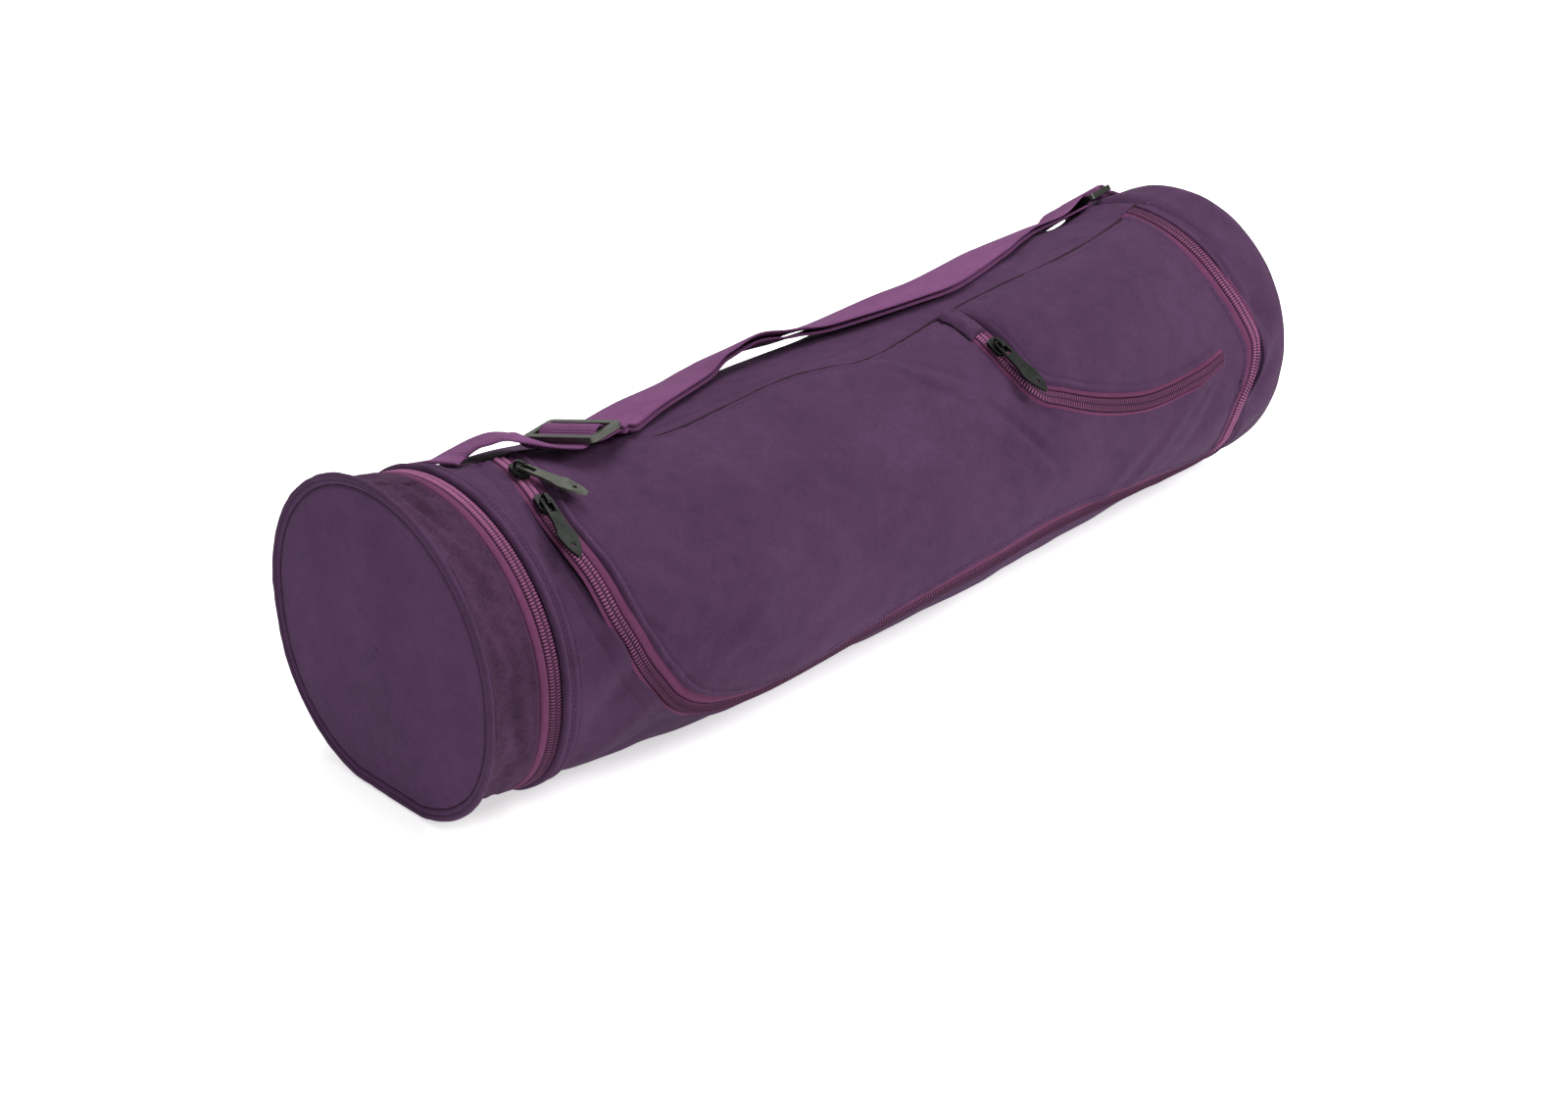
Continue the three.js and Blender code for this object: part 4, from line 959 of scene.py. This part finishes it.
# Metal
def refined(node, name, bevel, material, slot, body="root"):
    """A metal piece of the frame with its flats joined and its edges rounded."""
    same_place, flat_angle, sharp_angle = 1e-6, math.radians(2), math.radians(35)
    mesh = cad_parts[node].data.copy()
    work = bmesh.new()
    work.from_mesh(mesh)
    bmesh.ops.remove_doubles(work, verts=work.verts, dist=same_place)
    bmesh.ops.dissolve_limit(work, angle_limit=flat_angle, verts=work.verts, edges=work.edges)
    sharp = [e for e in work.edges if len(e.link_faces) == 2 and e.calc_face_angle(0) > sharp_angle]
    bmesh.ops.bevel(work, geom=sharp, offset=bevel / METRE, segments=3, profile=0.5, affect="EDGES",
                    clamp_overlap=True)
    work.to_mesh(mesh)
    work.free()
    mesh.name = name
    mesh.shade_smooth()
    piece = bpy.data.objects.new(name, mesh)
    bpy.context.scene.collection.objects.link(piece)
    normals = piece.modifiers.new("flat_faces", "WEIGHTED_NORMAL")
    normals.weight = 80
    return finish_piece(piece, material, slot, node, body=body)


# Strap
anchor_run = [
    (-0.405, 0.16, 0.055, 20, -18),
    (-0.394, 0.185, 0.06, 10, -22),
    (-0.382, 0.2, 0.08, 0, -25),
    (-0.371, 0.185, 0.15, -8, -22),
    (-0.357, 0.145, 0.23, -16, -14),
    (-0.34, 0.095, 0.21, -22, -10),
]
upper_run = [
    (-0.25, 0.06, 0.15, 19, -12),
    (-0.196, 0.129, 0.17, 15, -15),
    (-0.126, 0.194, 0.16, 10, -22),
    (-0.088, 0.225, 0.26, 6, -32),
    (-0.047, 0.225, 0.32, 0, -38),
    (-0.005, 0.215, 0.24, -4, -35),
    (0.035, 0.195, 0.19, -5, -24),
    (0.115, 0.12, 0.17, 0, -12),
    (0.155, 0.095, 0.15, 4, -13),
    (0.241, 0.155, 0.14, 10, -20),
    (0.286, 0.212, 0.15, 12, -27),
    (0.326, 0.262, 0.16, 12, -33),
    (0.392, 0.318, 0.19, 12, -36),
]
ring_tab_run = [
    (0.47, 0.365, 0.13, 12, -38),
    (0.48, 0.37, 0.09, 12, -40),
    (0.488, 0.37, 0.09, 12, -40),
]
glide_place = (-0.298, -0.012, 0.26)
glide_turn = 15
glide_tilt = -12
ring_place = (0.44, 0.345, 0.21)
ring_turn = 12
ring_tilt = -36


def over_bag(at, side, lift):
    x, y = at * bag_length, side * bag_width
    return np.array([x, y, float(bed(x, y)) + lift * webbing_width])


def width_of(turn, tilt):
    turn, tilt = math.radians(turn), math.radians(tilt)
    return np.array([-math.sin(turn) * math.cos(tilt), math.cos(turn) * math.cos(tilt), math.sin(tilt)])


def hardware_frame(turn, tilt):
    width = width_of(turn, tilt)
    heading = np.array([math.cos(math.radians(turn)), math.sin(math.radians(turn)), 0])
    return width, heading, np.cross(heading, width)


def stop(row, layer=0):
    at, side, lift, turn, tilt = row
    lift = lift - layer * (webbing_thickness + strap_layer_gap) / webbing_width
    return over_bag(at, side, lift), width_of(turn, tilt), 1.2 - 3 * lift


def stops_at(point, directions, steps):
    width, heading, face = directions
    return [(point + heading * forward + face * up, width, 0.0) for forward, up in steps]


def webbing(name, stops, node, each=22):
    """Webbing through stops, each a middle, a width direction and how closely it hugs the bag."""
    count = each * (len(stops) - 1) + 1
    shares = np.linspace(0, 1, count)
    centre = catmull([s[0] for s in stops], shares)
    forward = np.gradient(centre, axis=0)
    forward /= np.linalg.norm(forward, axis=1, keepdims=True)
    place = shares * (len(stops) - 1)
    row = np.minimum(place.astype(int), len(stops) - 2)
    blend = (place - row)[:, None]
    blend = blend * blend * (3 - 2 * blend)
    widths = np.array([s[1] for s in stops])
    hugs = np.array([[s[2]] for s in stops])
    width = widths[row] * (1 - blend) + widths[row + 1] * blend
    width /= np.linalg.norm(width, axis=1, keepdims=True)
    hug = np.clip(hugs[row] * (1 - blend) + hugs[row + 1] * blend, 0, 1)
    face = np.cross(forward, width)
    face /= np.linalg.norm(face, axis=1, keepdims=True)
    flat = np.linspace(-1, 1, 15)
    thick = np.sqrt(np.clip(1 - np.abs(flat) ** 14, 0, 1))
    across = np.concatenate([flat, flat[::-1][1:-1]]) * webbing_width / 2
    up = np.concatenate([thick, -thick[::-1][1:-1]]) * webbing_thickness / 2
    spot = centre[:, None, :] + width[:, None, :] * across[None, :, None]
    lift = centre[:, 2] - bed(centre[:, 0], centre[:, 1])
    hugged = bed(spot[..., 0], spot[..., 1]) + lift[:, None]
    spot[..., 2] = spot[..., 2] * (1 - hug) + hugged * hug
    run = np.concatenate([[0], np.cumsum(np.linalg.norm(np.diff(centre, axis=0), axis=1))])
    spot = spot + face[:, None, :] * up[None, :, None]
    weave = np.stack(np.broadcast_arrays(run[:, None], across[None, :]), axis=-1)
    piece = mesh_from(name, [(spot, weave, False, True)])
    close_ends(piece, count, len(across))
    return finish_piece(piece, strap_cloth, "webbing", node)


def close_ends(obj, rows, columns):
    """Caps a tube's two ends and turns its faces outward."""
    work = bmesh.new()
    work.from_mesh(obj.data)
    work.verts.ensure_lookup_table()
    work.faces.new([work.verts[i] for i in range(columns)])
    work.faces.new([work.verts[(rows - 1) * columns + i] for i in range(columns)])
    bmesh.ops.recalc_face_normals(work, faces=work.faces)
    work.to_mesh(obj.data)
    work.free()
    obj.data.shade_smooth()


def strap():
    glide_slot = (glide_length - 3 * glide_bar) / 2
    glide_point = over_bag(*glide_place)
    glide = hardware_frame(glide_turn, glide_tilt)
    ring_point = over_bag(*ring_place)
    ring = hardware_frame(ring_turn, ring_tilt)
    clear = glide_thickness / 2 + webbing_thickness / 2 + 2 * small_gap
    under = clear + webbing_thickness + small_gap
    inner, outer, lead = glide_bar / 2, glide_length / 2, 4.0
    half = [(outer + lead, -clear), (outer - inner, -clear), (inner + 0.82 * glide_slot, -0.72 * clear),
            (inner + 0.5 * glide_slot, 0), (inner + 0.15 * glide_slot, 0.72 * clear)]
    over_glide = [(-forward, up) for forward, up in half] + [(0, clear)] + half[::-1]
    last = [(outer + lead, -under - 0.8), (outer - inner, -under - 0.8), (inner, -under - 0.3), (0, -under)]

    def round_bar(side, start, end):
        bar = ring_point + ring[1] * side * (ring_length - ring_bar) / 2
        away = ring_bar * math.sqrt(0.5) + webbing_thickness / 2 + small_gap
        angles = np.radians(np.linspace(start, end, 6))
        return stops_at(bar, ring, [(away * math.cos(a), away * math.sin(a)) for a in angles])

    stops = [stop(row) for row in anchor_run] + stops_at(glide_point, glide, over_glide)
    stops += [stop(row) for row in upper_run] + round_bar(-1, 115, -110)
    stops += [stop(row, 1) for row in upper_run[::-1]] + stops_at(glide_point, glide, last)
    webbing("strap_webbing", stops, "shoulder_strap")
    webbing("ring_webbing", round_bar(1, -60, -335) + [stop(row) for row in ring_tab_run], "ring_tab")


def hardware():
    refined("tri_glide", "glide_metal", 0.9, gunmetal_and_tab_reflection, "buckle_metal")
    # The ring's darker metal is partly painted shade; its lit end looks like the glide's metal.
    refined("strap_ring", "ring_metal", 1.1, steel_and_ring_shade, "buckle_metal")
    for node in ("lid_slider", "pocket_slider_upper", "pocket_slider_lower", "small_slider"):
        refined(node, node + "_metal", 0.35, black_nickel, "zip_metal")
    # The upper tab takes the lighter gunmetal, not black nickel like the other tabs: a painted reflection,
    # since the tabs are one finish.
    refined("pocket_tab_upper", "upper_tab_metal", 0.3, gunmetal_and_tab_reflection, "zip_metal", "upper_tab")
    refined("pocket_tab_lower", "lower_tab_metal", 0.3, black_nickel, "zip_metal", "lower_tab")
    refined("small_tab", "small_tab_metal", 0.3, black_nickel, "zip_metal", "small_pocket_tab")


# Stitches
def stitches(name, x, turn, lift, length=2.4, thick=0.45):
    """Short raised threads along a line on the bag, each a small closed bead."""
    points = skin(x, turn, lift)
    normal = outward(x, turn)
    ahead = np.gradient(points, axis=0)
    ahead /= np.linalg.norm(ahead, axis=1, keepdims=True)
    across = np.cross(normal, ahead)
    run = np.concatenate([[0], np.cumsum(np.linalg.norm(np.diff(points, axis=0), axis=1))])
    spots = np.arange(length, run[-1], length * 1.35)
    grids = []
    for spot in spots:
        i = min(int(np.searchsorted(run, spot)), len(points) - 1)
        ends = [(-0.5, 0.05), (-0.42, 0.7), (-0.15, 1), (0.15, 1), (0.42, 0.7), (0.5, 0.05)]
        angles = np.radians([0, 60, 120, 180, 240, 300])
        ring = across[i][None] * np.cos(angles)[:, None] + normal[i][None] * np.sin(angles)[:, None]
        rings = [points[i] + ahead[i] * length * step + ring * thick * size for step, size in ends]
        grids.append((np.stack(rings), np.zeros(2), False, True))
    piece = mesh_from(name, grids)
    return finish_piece(piece, thread, "bag_fabric")


def all_stitches():
    turns = np.linspace(0, 360, 1200)
    stitches("flap_stitches", np.full_like(turns, flap_start + 5.8), turns, 2.0)
    rows = [
        ("top_seam_stitches", seam_line, -7.5, 0.1),
        ("pocket_stitches", thinned(pocket_line), 13.2, -0.1),
    ]
    for name, line, step, lift in rows:
        x, turn = line.places([step])
        stitches(name, x[:, 0], turn[:, 0], panel_lift(x, turn)[:, 0] + lift)


# Stage
def stage():
    phi, elevation, distance = math.radians(44.0547), math.radians(26.7086), 1.6373
    target = Vector((-0.039646, 0, 0.048192))
    level_part = math.cos(elevation)
    look = Vector((level_part * math.sin(phi), level_part * math.cos(phi), -math.sin(elevation)))
    data = bpy.data.cameras.new("camera")
    data.lens = 60.89
    data.sensor_width = 36.0
    camera = bpy.data.objects.new("camera", data)
    bpy.context.scene.collection.objects.link(camera)
    camera.location = target - look * distance
    camera.rotation_euler = look.to_track_quat("-Z", "Y").to_euler()
    bpy.context.scene.camera = camera

    floor_mesh = bpy.data.meshes.new("floor")
    half = 6.0
    corners = [(-half, -half, 0), (half, -half, 0), (half, half, 0), (-half, half, 0)]
    floor_mesh.from_pydata(corners, [], [(0, 1, 2, 3)])
    floor = bpy.data.objects.new("floor", floor_mesh)
    bpy.context.scene.collection.objects.link(floor)
    floor.location.z = -0.0004
    white = Shader("floor_white")
    white.set(Base_Color=(0.9, 0.9, 0.9, 1), Roughness=0.9, Specular_IOR_Level=0.1)
    white.set(Emission_Color=(1, 1, 1, 1), Emission_Strength=0.55)
    floor_mesh.materials.append(white.material)

    world = bpy.data.worlds.new("studio")
    world.use_nodes = True
    world.node_tree.nodes["Background"].inputs["Color"].default_value = (1, 1, 1, 1)
    world.node_tree.nodes["Background"].inputs["Strength"].default_value = 0.66
    bpy.context.scene.world = world
    bag_middle = (0, 0, 0.1)
    area_light("overhead", (0.2, 0.3, 1.9), bag_middle, size=1.2, power=30)
    area_light("key", (0.9, -1.5, 1.5), bag_middle, size=0.7, power=34)
    bpy.context.scene.view_settings.view_transform = "Standard"


def area_light(name, place, target, size, power):
    data = bpy.data.lights.new(name, "AREA")
    data.size = size
    data.energy = power
    light = bpy.data.objects.new(name, data)
    bpy.context.scene.collection.objects.link(light)
    light.location = place
    light.rotation_euler = (Vector(target) - Vector(place)).to_track_quat("-Z", "Y").to_euler()


stage()
tube()
far_panel()
tube_hem()
front_pocket()
front_zip()
small_pocket()
small_zip()
zip_garage()
lid_panel()
lid_edge()
lid_band()
lid_closure()
flap()
seam_shades()
hardware()
strap()
all_stitches()
